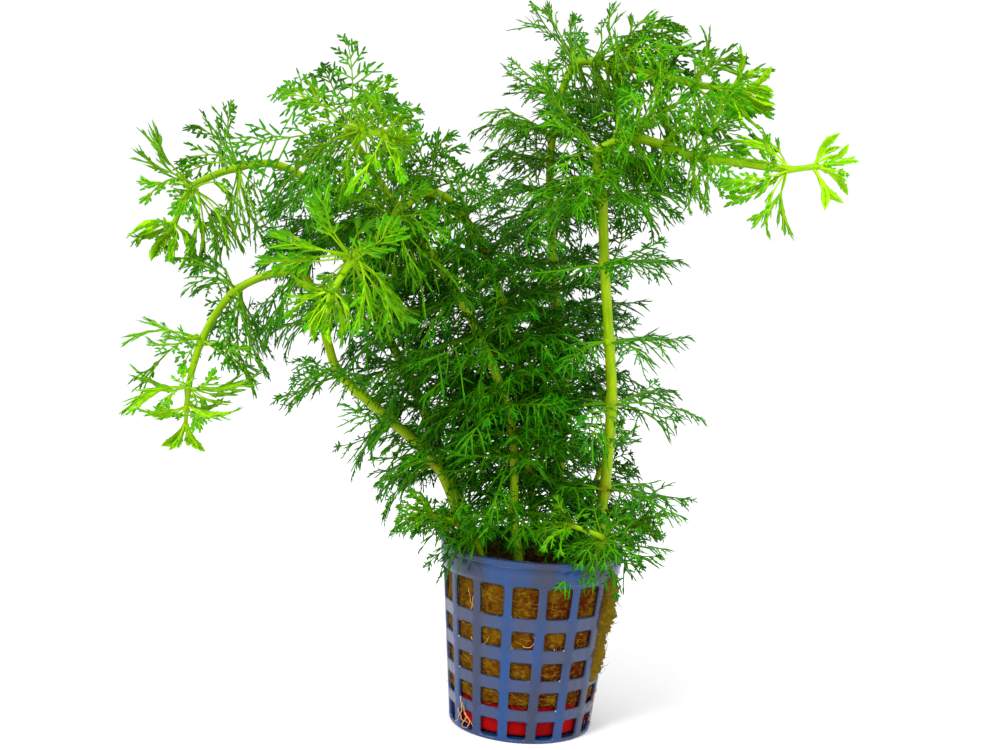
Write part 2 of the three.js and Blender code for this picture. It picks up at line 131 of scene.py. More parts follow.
# Where leaves stand once more between a stem's nodes: 2.5 is halfway from its second to its third.
MORE_WHORLS = {
    "right_front": [0.45, 5.5, 6.5, 7.5],
    "right_back": [0.5, 1.3, 1.65, 2.25, 2.5, 3.3, 3.65, 4.5, 5.5, 5.85, 6.5],
    "upper_left": [0.6, 0.85, 1.15, 1.4, 1.7, 2.5, 3.5], "lower_left": [0.6, 1.15, 1.45],
    "middle": [2.5, 3.3, 3.65, 4.5, 5.5], "arching": [0.4, 0.75, 1.35, 1.7, 2.2, 2.5, 2.8, 3.5],
}
# From this whorl on the leaves of a stem lean on towards its tip, and the lowest of them are short.
LEANING = {"right_front": 6, "right_back": 6}
LEAN = 0.3
# How many leaves a full whorl has, and how far the added ones droop at most.
FULL_TURN, DROOP = 20, 0.3
# How far the leaves added to a whorl stray from its plane, and how much further near the tip.
SPILL, TIP_SPILL = 0.36, 0.15
# The leaves that stand between nodes: their length against the node's, and how full they are.
BETWEEN_LENGTHS, BETWEEN_FULLNESS = (0.75, 0.9), 0.8
# A leaf's rib begins this far inside a tall stem, and inside a tip or shoot.
RIB_DEPTH, YOUNG_RIB_DEPTH = 1.5, 0.4
# How much brighter a stem's leaves are painted than the others, in shares of the whole spread of
# shades: painted light, and painted shade on the middle and arching stems, which face the key light.
PAINTED_STEM_LIGHT = {"middle": -0.15, "arching": -0.1, "lower_left": 0.2, "right_front": 0.4}
# How far a tip's older leaves sweep back along it, and how far from its end they begin.
SWEPT_BACK = {"right_front": 0.9}
SWEPT_FROM = 5.0
# Leaves are fully grown this far down the stem from its growing point.
GROWN_AT = {"middle": 38.0}
USUALLY_GROWN_AT = 62.0
# Nodes are brown up to the first height and green from the second on.
BROWN_TO, GREEN_FROM = 60.0, 105.0
# How far a stem swells at its nodes, and over what length. Between them it waves a little.
NODE_SWELLING, NODE_LENGTH = 0.3, 1.3
WAVE_HEIGHT, WAVE_LENGTH = 0.025, 7.0
# No leaf's tip hangs below this height.
LOWEST_TIP = 48.0
# Leaves of the side shoots are small but not young. They are older down the shoot.
SHOOT_AGE, SHOOT_AGEING, SHOOT_LENGTH = 0.55, 0.45, 30.0
# The solids' leaves have their widest section at this share of their length.
WIDEST_AT = 0.6
# Nodes whose leaves are longer towards one way and shorter on the other side, and by how much.
LONGER_TOWARDS = {
    "right_back_whorl_1": ((0.0, 1.0, 0.0), 0.3), "right_back_whorl_2": ((0.2, 1.0, 0.0), 0.5),
    "right_back_whorl_3": ((0.3, 0.7, -0.7), 0.5), "right_back_whorl_5": ((-0.5, 0.0, 0.85), 0.35),
    "right_back_whorl_6": ((-0.2, 0.0, 1.0), 0.35), "right_back_whorl_7": ((-0.3, 0.0, -1.0), 0.2),
    "right_front_whorl_5": ((0.0, 0.0, 1.0), 0.5), "right_front_whorl_6": ((-0.3, 0.0, 1.0), 0.5),
    "right_front_whorl_7": ((0.0, 0.0, 1.0), 0.4), "middle_whorl_5": ((-0.3, 0.0, 1.0), 0.3),
    "upper_left_whorl_1": ((1.0, 0.0, 0.2), 0.3), "upper_left_whorl_2": ((1.0, 0.0, 0.2), 0.3),
    "upper_left_whorl_4": ((0.0, 0.0, 1.0), 0.55), "lower_left_whorl_1": ((0.7, 0.0, 0.7), 0.3),
    "lower_left_whorl_2": ((1.0, 0.0, 0.1), 0.35), "lower_left_whorl_3": ((1.0, 0.0, 0.1), 0.35),
    "lower_left_whorl_4": ((0.7, 0.0, 0.7), 0.2), "middle_whorl_4": ((-1.0, 0.0, 0.0), 0.3),
    "middle_whorl_7": ((-0.9, 0.0, 0.5), 0.35), "middle_growing_tip": ((-1.0, 0.0, 0.1), 0.35),
}
# How much of its length and of its droop a side shoot's leaf keeps, and how far it is lifted.
SHOOT_LEAVES = {
    "front_left_shoot": (0.78, 0.2, 0.4), "right_shoot": (0.74, 0.5, 0.15),
    "front_right_shoot": (0.9, 0.6, 0.1),
}

# Forms of a bud's, a young, a half-grown and a full-grown leaf. Lengths are shares of its own.
LEAF_FORMS = {
    "at": [0.02, 0.14, 0.42, 1.0],
    "petiole": [0.1, 0.42, 0.42, 0.23],
    "reach": [0.28, 0.46, 0.42, 0.39],  # the longest pinna
    "widest": [0.75, 0.4, 0.33, 0.25],  # where along the blade it stands
    "narrow": [0.1, 0.4, 0.55, 0.66],  # how much shorter the last pinna is
    "spread": [14.0, 36.0, 46.0, 62.0],  # the first pinna's angle from the rib
    "gather": [9.0, 18.0, 26.0, 34.0],  # the last pinna's
    "fold": [6.0, 22.0, 14.0, 2.0],  # how far the two halves of the blade fold up
    "hang": [0.0, 0.0, 0.14, 0.5],  # how far a pinna hangs
    "stray": [0.6, 0.9, 1.3, 2.0],  # how far leaves and pinnae stray from that
    "curl": [-0.3, -0.42, -0.32, -0.2],  # how far the leaf's end curls down
    "lobe_reach": [0.55, 0.5, 0.46, 0.48],  # a lobe against its pinna
    "lobe_least": [3.4, 3.2, 2.4, 2.1],  # the shortest lobe, in millimetres
    "lobe_spread": [12.0, 20.0, 34.0, 42.0],
    "lobe_width": [1.9, 1.75, 1.25, 0.7],  # in millimetres
    "lobe_ratio": [0.5, 0.5, 0.46, 0.31],  # and at most this much of its length
    "rib": [0.46, 0.33, 0.3, 0.3],  # the rib's radius at the collar, in millimetres
    "axis": [0.36, 0.32, 0.29, 0.26],  # and a pinna's
    "blade": [0.14, 0.06, 0.0, 0.0],  # the unparted blade's half width
}
BUD_AGE = 0.07  # younger leaves are a bud's, with an unparted blade
# In a young and in an older group of a tip or shoot: the share of the gaps between its leaves that
# hold another, how many leaves a full turn has, and how far the added ones droop.
YOUNG_GROUP, OLDER_GROUP = (0.75, 11, 0.05), (1.0, 16, 0.25)
OLDER_FROM = 0.3
# How far the added leaves of a bud and of the rest of a tip or shoot stray.
CLOSED_AGE, CLOSED_SPILL, OPEN_SPILL = 0.06, 0.08, 0.3
# Where along the leaf the last lobes of a bud's leaf and of an older one stand.
BUD_END, BLADE_END = 0.78, 0.86
# A bud leaf's lobes: where along it, how far they turn to the side, and their length.
BUD_LOBES = {
    "at": [0.5, 0.5, 0.64, 0.64, BUD_END, BUD_END, BUD_END],
    "turn": [0.55, -0.55, 0.5, -0.5, 0.4, 0.0, -0.4],
    "long": [0.26, 0.26, 0.25, 0.25, 0.18, 0.21, 0.18],
}
# A pinna's lobes: where along it, to which side, and how long against the longest.
PINNA_LOBES = [(0.28, -1.0, 1.0), (0.46, 1.0, 0.95), (0.68, -1.0, 0.8), (0.86, 0.0, 0.75)]
# The lobes at a leaf's end: how far they turn to the side, and how long, wide and thick they are
# against the middle one, whose thickness is in millimetres.
END_LOBES = [(0.0, 1.0, 1.0, 0.3), (0.5, 0.75, 0.9, 0.28), (-0.5, 0.75, 0.9, 0.28)]
LOBE_THICK = 0.3
PINNA_SPACING = 2.7  # between the pairs, in millimetres
FULL_SIZE = 16.0  # lobes and ribs of leaves shorter than this are finer


def grown(measure, age):
    """A measure of the leaf's form at an age from 0, in the bud, to 1, full grown."""
    return float(np.interp(age, LEAF_FORMS["at"], LEAF_FORMS[measure]))


def unit(v):
    """Vectors of length 1 along the last axis."""
    return v / np.maximum(np.linalg.norm(v, axis=-1, keepdims=True), 1e-12)


def paint(red, green, blue):
    """A colour given as 0 to 255, as the shader's linear values."""
    parts = [c / 255 for c in (red, green, blue)]
    return [c / 12.92 if c <= 0.04045 else ((c + 0.055) / 1.055) ** 2.4 for c in parts] + [1.0]


def leaf_length(leaf):
    return np.linalg.norm(leaf["out"])


def resized(leaf, share):
    """A leaf of another size."""
    return {**leaf, "out": leaf["out"] * share, "bend": leaf["bend"] * share}


def new_mesh(name, points, edges=(), faces=()):
    made = bpy.data.meshes.new(name)
    made.from_pydata(points, edges, faces)
    return made


def set_values(mesh, kind="FLOAT", **values):
    """Stores named values on a mesh's points, each a list or one value for all the points."""
    many = len(mesh.vertices)
    field, shape = ("vector", (many, 3)) if kind == "FLOAT_VECTOR" else ("value", many)
    for label, given in values.items():
        data = mesh.attributes.new(label, kind, "POINT").data
        data.foreach_set(field, np.broadcast_to(given, shape).ravel())


def faces_between(start, rows, wide, closed=True):
    """Faces between rows of points that follow one another, each row a ring or an open line."""
    faces = []
    for j in range(rows - 1):
        a, b = start + j * wide, start + (j + 1) * wide
        for i in range(wide if closed else wide - 1):
            k = (i + 1) % wide
            faces.append((a + i, a + k, b + k, b + i))
    return faces


def set_finish(mesh, finish):
    """A material over a whole mesh, smooth."""
    mesh.materials.append(finish)
    for face in mesh.polygons:
        face.use_smooth = True


def placed(name, data):
    """A new object in the scene."""
    made = bpy.data.objects.new(name, data)
    bpy.context.scene.collection.objects.link(made)
    return made


# Node trees


def socket(sockets, label):
    """The enabled socket of that name."""
    return next(s for s in sockets if s.name == label and s.enabled)


def out(node, label):
    """A node's output of that name."""
    return socket(node.outputs, label)


def give(tree, end, value):
    """Sets an input to a plain value or to an output. A node stands for its first output."""
    if isinstance(value, bpy.types.Node):
        value = value.outputs[0]
    if isinstance(value, bpy.types.NodeSocket):
        tree.links.new(value, end)
    else:
        end.default_value = value


def add_node(tree, kind, settings=None, **values):
    """A node with its settings, and what goes to its inputs by their names."""
    made = tree.nodes.new(kind)
    for key, value in (settings or {}).items():
        setattr(made, key, value)
    for label, value in values.items():
        give(tree, socket(made.inputs, label.replace("_", " ")), value)
    return made


def arithmetic(tree, operation, *values, kind="ShaderNodeMath"):
    """A node that works out a value from others."""
    made = add_node(tree, kind, {"operation": operation})
    for end, value in zip(made.inputs, values):
        give(tree, end, value)
    return made


def new_geometry_tree(name, inputs):
    """A geometry tree with a geometry input and output and the named inputs, and its input node."""
    tree = bpy.data.node_groups.new(name, "GeometryNodeTree")
    tree.is_modifier = True
    sides = tree.interface
    sides.new_socket("Geometry", in_out="INPUT", socket_type="NodeSocketGeometry")
    for label, kind in inputs.items():
        sides.new_socket(label, in_out="INPUT", socket_type="NodeSocket" + kind)
    sides.new_socket("Geometry", in_out="OUTPUT", socket_type="NodeSocketGeometry")
    return tree, tree.nodes.new("NodeGroupInput")


def named(tree, name, kind="FLOAT_VECTOR"):
    """A named attribute of the points."""
    made = add_node(tree, "GeometryNodeInputNamedAttribute", {"data_type": kind}, Name=name)
    return out(made, "Attribute")


def separated(tree, whole, name):
    """Geometry parted in the points that have a named attribute and the rest."""
    chosen = named(tree, name, "BOOLEAN")
    return add_node(
        tree, "GeometryNodeSeparateGeometry", {"domain": "POINT"}, Geometry=whole, Selection=chosen
    )


def random_value(tree, least, most, seed):
    settings = {"data_type": "FLOAT"}
    made = add_node(tree, "FunctionNodeRandomValue", settings, Min=least, Max=most, Seed=seed)
    return out(made, "Value")


def grow_mesh(name, mesh, tree, values):
    """Runs a geometry tree on a mesh and gives the plain mesh that comes out."""
    source = placed(name + "_source", mesh)
    modifier = source.modifiers.new("grow", "NODES")
    modifier.node_group = tree
    for item in tree.interface.items_tree:
        if item.in_out == "INPUT" and item.name in values:
            modifier[item.identifier] = values[item.name]
    grown_source = source.evaluated_get(bpy.context.evaluated_depsgraph_get())
    made = bpy.data.meshes.new_from_object(grown_source)
    bpy.data.objects.remove(source)
    bpy.data.meshes.remove(mesh)
    made.name = name
    return made


def foliage_tree():
    """Leaves from their skeleton: tubes on the ribs, unparted blades and a lobe at each loose point."""
    tree, entry = new_geometry_tree("foliage", {
        "Lobe": "Object", "Blade section": "Object", "Rib sides": "Int", "Unevenness": "Float",
        "Seed": "Int", "Finish": "Material",
    })
    parted = separated(tree, out(entry, "Geometry"), "is_lobe")
    lines = separated(tree, out(parted, "Inverted"), "is_blade")
    ribs = add_node(tree, "GeometryNodeMeshToCurve", Mesh=out(lines, "Inverted"))
    parts = [
        add_lobes(tree, parted, entry), add_tubes(tree, ribs, out(entry, "Rib sides")),
        add_blades(tree, lines, entry),
    ]
    return finish_tree(tree, joined_parts(tree, parts), entry)


def joined_parts(tree, parts):
    """Geometries in one, in this order."""
    made = add_node(tree, "GeometryNodeJoinGeometry")
    for part in parts:
        give(tree, made.inputs[0], part)
    return made


def add_lobes(tree, points, entry):
    """A lobe at each point, lying as its attributes say and up to the unevenness smaller."""
    lobe = add_node(tree, "GeometryNodeObjectInfo", Object=out(entry, "Lobe"))
    turn = add_node(
        tree, "FunctionNodeAxesToRotation", {"primary_axis": "X", "secondary_axis": "Z"},
        Primary_Axis=named(tree, "ahead"), Secondary_Axis=named(tree, "above"),
    )
    least = arithmetic(tree, "SUBTRACT", 1.0, out(entry, "Unevenness"))
    size = add_node(
        tree, "ShaderNodeVectorMath", {"operation": "SCALE"}, Vector=named(tree, "size"),
        Scale=random_value(tree, least, 1.0, out(entry, "Seed")),
    )
    return add_node(
        tree, "GeometryNodeInstanceOnPoints", Points=points, Instance=out(lobe, "Geometry"),
        Rotation=turn, Scale=size,
    )


def add_blades(tree, lines, entry):
    """Unparted blades along their middle lines, as wide as their thick attribute says."""
    facing = add_node(
        tree, "GeometryNodeSetCurveNormal", {"mode": "FREE"},
        Curve=add_node(tree, "GeometryNodeMeshToCurve", Mesh=lines), Normal=named(tree, "above"),
    )
    section = add_node(tree, "GeometryNodeObjectInfo", Object=out(entry, "Blade section"))
    outline = add_node(tree, "GeometryNodeMeshToCurve", Mesh=out(section, "Geometry"))
    return swept(tree, facing, outline)


def swept(tree, paths, section):
    """A section swept along paths, smooth and closed, as thick as their thick attribute says."""
    made = add_node(
        tree, "GeometryNodeCurveToMesh", Curve=paths, Profile_Curve=section,
        Scale=named(tree, "thick", "FLOAT"), Fill_Caps=True,
    )
    return add_node(tree, "GeometryNodeSetShadeSmooth", Geometry=made)


def add_tubes(tree, paths, sides):
    """Closed tubes along paths. Their rim attribute says where on the round a point lies."""
    section = add_node(
        tree, "GeometryNodeCurvePrimitiveCircle", {"mode": "RADIUS"}, Resolution=sides, Radius=1.0
    )
    rim = add_node(
        tree, "GeometryNodeStoreNamedAttribute", {"data_type": "FLOAT_VECTOR", "domain": "POINT"},
        Geometry=section, Name="rim", Value=add_node(tree, "GeometryNodeInputPosition"),
    )
    return swept(tree, paths, rim)


def finish_tree(tree, last, entry):
    """A tree, ended with its copies made real and its finish set."""
    real = add_node(tree, "GeometryNodeRealizeInstances", Geometry=last)
    finish = add_node(tree, "GeometryNodeSetMaterial", Geometry=real, Material=out(entry, "Finish"))
    give(tree, tree.nodes.new("NodeGroupOutput").inputs[0], finish)
    return tree


def stem_tree():
    """A stem along a path."""
    tree, entry = new_geometry_tree("stem", {"Sides": "Int", "Finish": "Material"})
    paths = add_node(tree, "GeometryNodeMeshToCurve", Mesh=out(entry, "Geometry"))
    return finish_tree(tree, add_tubes(tree, paths, out(entry, "Sides")), entry)


def round_tree():
    """Copies of one column round the pot's axis, joined in one mesh."""
    tree, entry = new_geometry_tree("round_the_pot", {
        "Columns": "Int", "First column": "Float", "Weld": "Float", "Finish": "Material",
    })
    index = add_node(tree, "GeometryNodeInputIndex")
    share = arithmetic(tree, "DIVIDE", index, out(entry, "Columns"))
    turn = arithmetic(tree, "MULTIPLY_ADD", share, 2 * math.pi, out(entry, "First column"))
    copies = add_node(
        tree, "GeometryNodeInstanceOnPoints", Instance=out(entry, "Geometry"),
        Points=add_node(tree, "GeometryNodePoints", Count=out(entry, "Columns")),
        Rotation=turned_on_z(tree, turn),
    )
    real = add_node(tree, "GeometryNodeRealizeInstances", Geometry=copies)
    weld = add_node(tree, "GeometryNodeMergeByDistance", Geometry=real, Distance=out(entry, "Weld"))
    smooth = add_node(tree, "GeometryNodeSetShadeSmooth", Geometry=weld)
    return finish_tree(tree, smooth, entry)


def turned_on_z(tree, turn):
    """A rotation about Z."""
    angles = add_node(tree, "ShaderNodeCombineXYZ", Z=turn)
    return add_node(tree, "FunctionNodeEulerToRotation", Euler=angles)


def fibre_tree():
    """Short bent fibres lying at random on a surface, and the surface itself."""
    tree, entry = new_geometry_tree("fibres", {
        "Fibre": "Object", "Density": "Float", "Shortest": "Float", "Seed": "Int", "Finish": "Material",
    })
    surface, seed = out(entry, "Geometry"), out(entry, "Seed")
    fibre = add_node(tree, "GeometryNodeObjectInfo", Object=out(entry, "Fibre"))
    spots = add_node(
        tree, "GeometryNodeDistributePointsOnFaces", {"distribute_method": "RANDOM"},
        Mesh=surface, Density=out(entry, "Density"), Seed=seed,
    )
    turned = add_node(
        tree, "FunctionNodeRotateRotation", {"rotation_space": "LOCAL"},
        Rotation=out(spots, "Rotation"),
        Rotate_By=turned_on_z(tree, random_value(tree, 0.0, 2 * math.pi, seed)),
    )
    copies = add_node(
        tree, "GeometryNodeInstanceOnPoints", Points=spots, Instance=out(fibre, "Geometry"),
        Rotation=turned, Scale=random_value(tree, out(entry, "Shortest"), 1.0, seed),
    )
    both = joined_parts(tree, [surface, copies])
    smooth = add_node(tree, "GeometryNodeSetShadeSmooth", Geometry=both)
    return finish_tree(tree, smooth, entry)


# Materials


def new_material(name):
    made = bpy.data.materials.new(name)
    made.use_nodes = True
    return made, made.node_tree, made.node_tree.nodes["Principled BSDF"]


def texture_noise(tree, scale, detail=3.0, roughness=0.55, stretch=(1.0, 1.0, 1.0)):
    """Noise on the piece's own coordinates, with features about 1/scale metres across."""
    place = out(add_node(tree, "ShaderNodeTexCoord"), "Object")
    if stretch != (1.0, 1.0, 1.0):
        place = add_node(tree, "ShaderNodeMapping", Vector=place, Scale=stretch)
    return noise_at(tree, place, scale, detail, roughness)


def noise_at(tree, place, scale, detail, roughness):
    """Noise at a place that another node gives."""
    made = add_node(
        tree, "ShaderNodeTexNoise", Vector=place, Scale=scale, Detail=detail, Roughness=roughness
    )
    return out(made, "Fac")


def coordinate(tree, axis):
    """One of the piece's own coordinates, in metres."""
    place = out(add_node(tree, "ShaderNodeTexCoord"), "Object")
    return out(add_node(tree, "ShaderNodeSeparateXYZ", Vector=place), axis)


def mixed(tree, factor, first, second, kind="MIX"):
    """A mix of two colours."""
    settings = {"data_type": "RGBA", "blend_type": kind}
    made = add_node(tree, "ShaderNodeMix", settings, A=first, B=second, Factor=factor)
    return out(made, "Result")


def ranged(tree, value, low, high, out_low=0.0, out_high=1.0):
    """A value's range laid on another."""
    ends = {"From_Min": low, "From_Max": high, "To_Min": out_low, "To_Max": out_high}
    return out(add_node(tree, "ShaderNodeMapRange", Value=value, **ends), "Result")


def scaled(tree, first, second):
    """The product of two values."""
    return arithmetic(tree, "MULTIPLY", first, second)


def attribute(tree, name, label="Fac"):
    """A named attribute of a piece, as a value or as another of the node's outputs."""
    return out(add_node(tree, "ShaderNodeAttribute", {"attribute_name": name}), label)


def add_bump(tree, shader, height, strength, distance):
    bump = add_node(tree, "ShaderNodeBump", Strength=strength, Distance=distance, Height=height)
    give(tree, shader.inputs["Normal"], bump)


def set_shader(tree, shader, colour, roughness, specular):
    give(tree, shader.inputs["Base Color"], colour)
    give(tree, shader.inputs["Roughness"], roughness)
    give(tree, shader.inputs["Specular IOR Level"], specular)


def leaf_material(name, young_blade, young_rib):
    """Green blades that darken with age and towards their tips, on paler ribs, with painted light:
    brighter higher up, and brighter or darker by stem.
    """
    made, tree, shader = new_material(name)
    # Painted light: leaves higher up are brighter; each blade, rib and dark colour below has a shaded
    # and a brighter copy mixed by it.
    painted_light_by_height = ranged(tree, coordinate(tree, "Z"), 0.13, 0.19)
    ripe = ranged(tree, attribute(tree, "age"), 0.15, 0.8)
    grown_blade = mixed(tree, painted_light_by_height, paint(29, 114, 1), paint(58, 138, 1))
    grown_dark = mixed(tree, painted_light_by_height, paint(8, 65, 0), paint(20, 94, 0))
    grown_rib = mixed(tree, painted_light_by_height, paint(78, 142, 2), paint(112, 168, 6))
    blade = mixed(tree, ripe, young_blade, grown_blade)
    dark = mixed(tree, ripe, paint(66, 140, 0), grown_dark)
    rib = mixed(tree, ripe, young_rib, grown_rib)
    patches = texture_noise(tree, 190.0, 1.0)
    leafy = mixed(tree, scaled(tree, ranged(tree, patches, 0.36, 0.66), 0.75), blade, dark)
    outward = ranged(tree, attribute(tree, "reach"), 0.0, 0.5, 0.45, 1.0)
    colour = mixed(tree, scaled(tree, attribute(tree, "tone"), outward), rib, leafy)
    # A leaf's shade is a random tone plus its stem's painted light or painted shade.
    light = ranged(tree, attribute(tree, "shade"), -0.5, 1.5, 0.4, 1.6)
    grey = add_node(tree, "ShaderNodeCombineXYZ", X=light, Y=light, Z=light)
    colour = mixed(tree, 1.0, colour, grey, "MULTIPLY")
    set_shader(tree, shader, colour, ranged(tree, patches, 0.3, 0.7, 0.42, 0.52), 0.07)
    return made


def stem_material():
    """Yellow-green stems, streaked along their length, browner at the oldest nodes."""
    made, tree, shader = new_material("stem")
    age = attribute(tree, "age")
    patches = texture_noise(tree, 160.0, 4.0)
    rim = attribute(tree, "rim", "Vector")
    onward = add_node(tree, "ShaderNodeCombineXYZ", Z=scaled(tree, attribute(tree, "along"), 0.16))
    place = arithmetic(
        tree, "MULTIPLY_ADD", rim, (1.7, 1.7, 0.0), onward, kind="ShaderNodeVectorMath"
    )
    streaks = noise_at(tree, place, 1.0, 3.0, 0.55)
    light = mixed(tree, age, paint(144, 190, 2), paint(154, 184, 2))
    dark = mixed(tree, age, paint(106, 166, 0), paint(114, 156, 0))
    colour = mixed(tree, ranged(tree, streaks, 0.35, 0.65, 0.0, 0.75), light, dark)
    colour = mixed(tree, ranged(tree, patches, 0.45, 0.75, 0.0, 0.4), colour, paint(82, 136, 0))
    brown = scaled(tree, scaled(tree, attribute(tree, "low"), 0.7), attribute(tree, "node"))
    colour = mixed(tree, brown, colour, paint(132, 78, 16))
    set_shader(tree, shader, colour, ranged(tree, patches, 0.3, 0.7, 0.32, 0.46), 0.1)
    add_bump(tree, shader, streaks, 0.35, 0.12 * MM)
    return made


def pot_material():
    """Dark blue-grey moulded plastic, glossy, with faint scuffs, painted reflections in blue streaks
    and painted shade on the recessed crossbars.
    """
    made, tree, shader = new_material("pot")
    # Painted reflections: brighter blue streaks running up the wall among greyer ones.
    painted_reflection_streaks = texture_noise(tree, 90.0, 3.0, stretch=(1.0, 1.0, 0.35))
    colour = mixed(tree, ranged(tree, painted_reflection_streaks, 0.42, 0.6), paint(4, 56, 112), paint(36, 46, 74))
    # Painted shade: the recessed crossbars are greyer and duller than the ribs.
    colour = mixed(tree, scaled(tree, attribute(tree, "bar"), 0.75), colour, paint(52, 60, 90))
    scuff = texture_noise(tree, 520.0, 6.0, stretch=(1.0, 1.0, 0.3))
    set_shader(tree, shader, colour, ranged(tree, scuff, 0.35, 0.75, 0.16, 0.36), 0.42)
    add_bump(tree, shader, scuff, 0.12, 0.1 * MM)
    return made


def wool_material():
    """Ochre-brown mineral wool with paler strands, and painted shade in dark red patches, more of them
    towards the right.
    """
    made, tree, shader = new_material("wool")
    tufts = texture_noise(tree, 260.0, 5.0, 0.62)
    strands = texture_noise(tree, 1100.0, 4.0, stretch=(0.6, 0.6, 1.3))
    colour = mixed(tree, ranged(tree, tufts, 0.35, 0.68), paint(66, 26, 0), paint(104, 74, 2))
    # Painted shade: dark red patches, more of them towards the right.
    painted_shade_patches = ranged(tree, texture_noise(tree, 110.0, 3.0), 0.36, 0.54)
    more_shade_to_the_right = ranged(tree, coordinate(tree, "X"), -0.01, 0.008, 0.15, 0.95)
    colour = mixed(tree, scaled(tree, painted_shade_patches, more_shade_to_the_right), colour, paint(66, 12, 0))
    colour = mixed(tree, scaled(tree, attribute(tree, "fluffy"), 0.85), colour, paint(104, 90, 20))
    colour = mixed(tree, ranged(tree, strands, 0.48, 0.72, 0.0, 0.5), colour, paint(142, 118, 26))
    colour = mixed(tree, scaled(tree, attribute(tree, "fibre"), 0.4), colour, paint(146, 116, 18))
    colour = mixed(tree, attribute(tree, "root"), colour, paint(196, 150, 96))
    set_shader(tree, shader, colour, 0.95, 0.05)
    add_bump(tree, shader, strands, 0.7, 0.4 * MM)
    return made


def pad_material():
    """Red open foam."""
    made, tree, shader = new_material("pad")
    cells = texture_noise(tree, 1300.0, 4.0, 0.6)
    patches = texture_noise(tree, 150.0, 2.0)
    colour = mixed(tree, ranged(tree, patches, 0.35, 0.7), paint(156, 0, 3), paint(128, 0, 2))
    colour = mixed(tree, ranged(tree, cells, 0.5, 0.75, 0.0, 0.5), colour, paint(88, 0, 2))
    set_shader(tree, shader, colour, 0.8, 0.08)
    add_bump(tree, shader, cells, 0.6, 0.3 * MM)
    return made


def floor_material():
    """A pale matt table."""
    made, tree, shader = new_material("floor")
    colour = mixed(tree, texture_noise(tree, 3.0, 2.0), paint(250, 250, 250), paint(252, 252, 252))
    set_shader(tree, shader, colour, 0.9, 0.5)
    return made


# What the solids say: leaves, stems and nodes


def merged(node):
    """A node's mesh with its loose triangles joined."""
    mesh = bmesh.new()
    mesh.from_mesh(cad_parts[node].data)
    bmesh.ops.remove_doubles(mesh, verts=mesh.verts, dist=0.02 * MM)
    return mesh


def beyond(vertex):
    """The vertices at the other ends of a vertex's edges."""
    return [e.other_vert(vertex) for e in vertex.link_edges]


def place_of(vertices):
    """The middle of some vertices."""
    return np.mean([v.co for v in vertices], axis=0)


def read_leaves(mesh):
    """Each leaf's root, its two curve terms and its blade's upward side, and the vertices it takes.

    A leaf of the solids ends in a point with four edges. They lead to its widest section, and that
    leads to the four corners that the leaf grows out of.
    """
    leaves, taken = [], set()
    shortest = 2.2 * MM
    for tip in mesh.verts:
        ring = beyond(tip)
        if len(ring) != 4 or np.mean([(v.co - tip.co).length for v in ring]) < shortest:
            continue
        if any(sum(w in ring for w in beyond(v)) != 2 for v in ring):
            continue
        corners = {w for v in ring for w in beyond(v)} - set(ring) - {tip}
        root, middle, end = place_of(corners), place_of(ring), np.array(tip.co)
        bend = ((end - root) - (middle - root) / WIDEST_AT) / (1 - WIDEST_AT)
        sides = [np.array(ring[0].co - v.co) for v in ring[1:] if v in beyond(ring[0])]
        above = min(sides, key=np.linalg.norm)
        leaves.append({"root": root, "out": end - root - bend, "bend": bend, "above": unit(above)})
        taken |= {tip, *ring}
    return leaves, taken


def read_tube(mesh, taken, near=None):
    """The middles and radii of a tube's rings, from its lowest end or the end that is near a place."""
    rest = [v for v in mesh.verts if v not in taken]
    if near is None:
        lowest = min(v.co.z for v in rest if len(beyond(v)) == 6)
        end = [v for v in rest if v.co.z < lowest + 0.6 * MM]
    else:
        end = sorted(rest, key=lambda v: np.linalg.norm(np.array(v.co) - near))[:7]
    level = [min(end, key=lambda v: np.linalg.norm(np.array(v.co) - place_of(end)))]
    seen = {*level, *taken}
    middles, radii = [], []
    while level:
        following = []
        for v in level:
            for w in beyond(v):
                if w not in seen:
                    seen.add(w)
                    following.append(w)
        if following:
            middle = place_of(following)
            middles.append(middle)
            radii.append(np.mean([np.linalg.norm(np.array(v.co) - middle) for v in following]))
        level = following
    radii[-1] = radii[-2] * 0.6
    return np.array(middles), np.array(radii)


def smooth_path(points, radii, step):
    """Points and radii about a step apart along a smooth curve through the given points."""
    line = np.vstack([2 * points[0] - points[1], points, 2 * points[-1] - points[-2]])
    made, thick = [], []
    for i in range(1, len(line) - 2):
        p = line[i - 1:i + 3]
        t = np.concatenate([[0], np.cumsum(np.linalg.norm(np.diff(p, axis=0), axis=1) ** 0.5)])
        count = max(2, int(np.linalg.norm(p[2] - p[1]) / step))
        for u in np.linspace(t[1], t[2], count, endpoint=False):
            a = [((t[k + 1] - u) * p[k] + (u - t[k]) * p[k + 1]) / (t[k + 1] - t[k]) for k in range(3)]
            b = [((t[k + 2] - u) * a[k] + (u - t[k]) * a[k + 1]) / (t[k + 2] - t[k]) for k in range(2)]
            made.append(((t[2] - u) * b[0] + (u - t[1]) * b[1]) / (t[2] - t[1]))
            share = (u - t[1]) / (t[2] - t[1])
            thick.append(radii[i - 1] * (1 - share) + radii[min(i, len(radii) - 1)] * share)
    made.append(points[-1])
    thick.append(radii[-1])
    return np.array(made), np.array(thick)


def arc_lengths(path):
    """How far along a path each of its points is."""
    return np.concatenate([[0], np.cumsum(np.linalg.norm(np.diff(path, axis=0), axis=1))])


def nearest_on(path, place):
    """Which point of a path is nearest to a place."""
    return int(np.argmin(np.linalg.norm(path - place, axis=1)))


def way_at(path, i):
    """The way that a path runs at one of its points."""
    return unit(path[min(i + 1, len(path) - 1)] - path[max(i - 1, 0)])


# Leaves

# The values of a skeleton's points.
POINT_VALUES = {
    "ahead": "FLOAT_VECTOR", "above": "FLOAT_VECTOR", "size": "FLOAT_VECTOR", "thick": "FLOAT",
    "tone": "FLOAT", "shade": "FLOAT", "age": "FLOAT", "is_lobe": "BOOLEAN", "is_blade": "BOOLEAN",
}


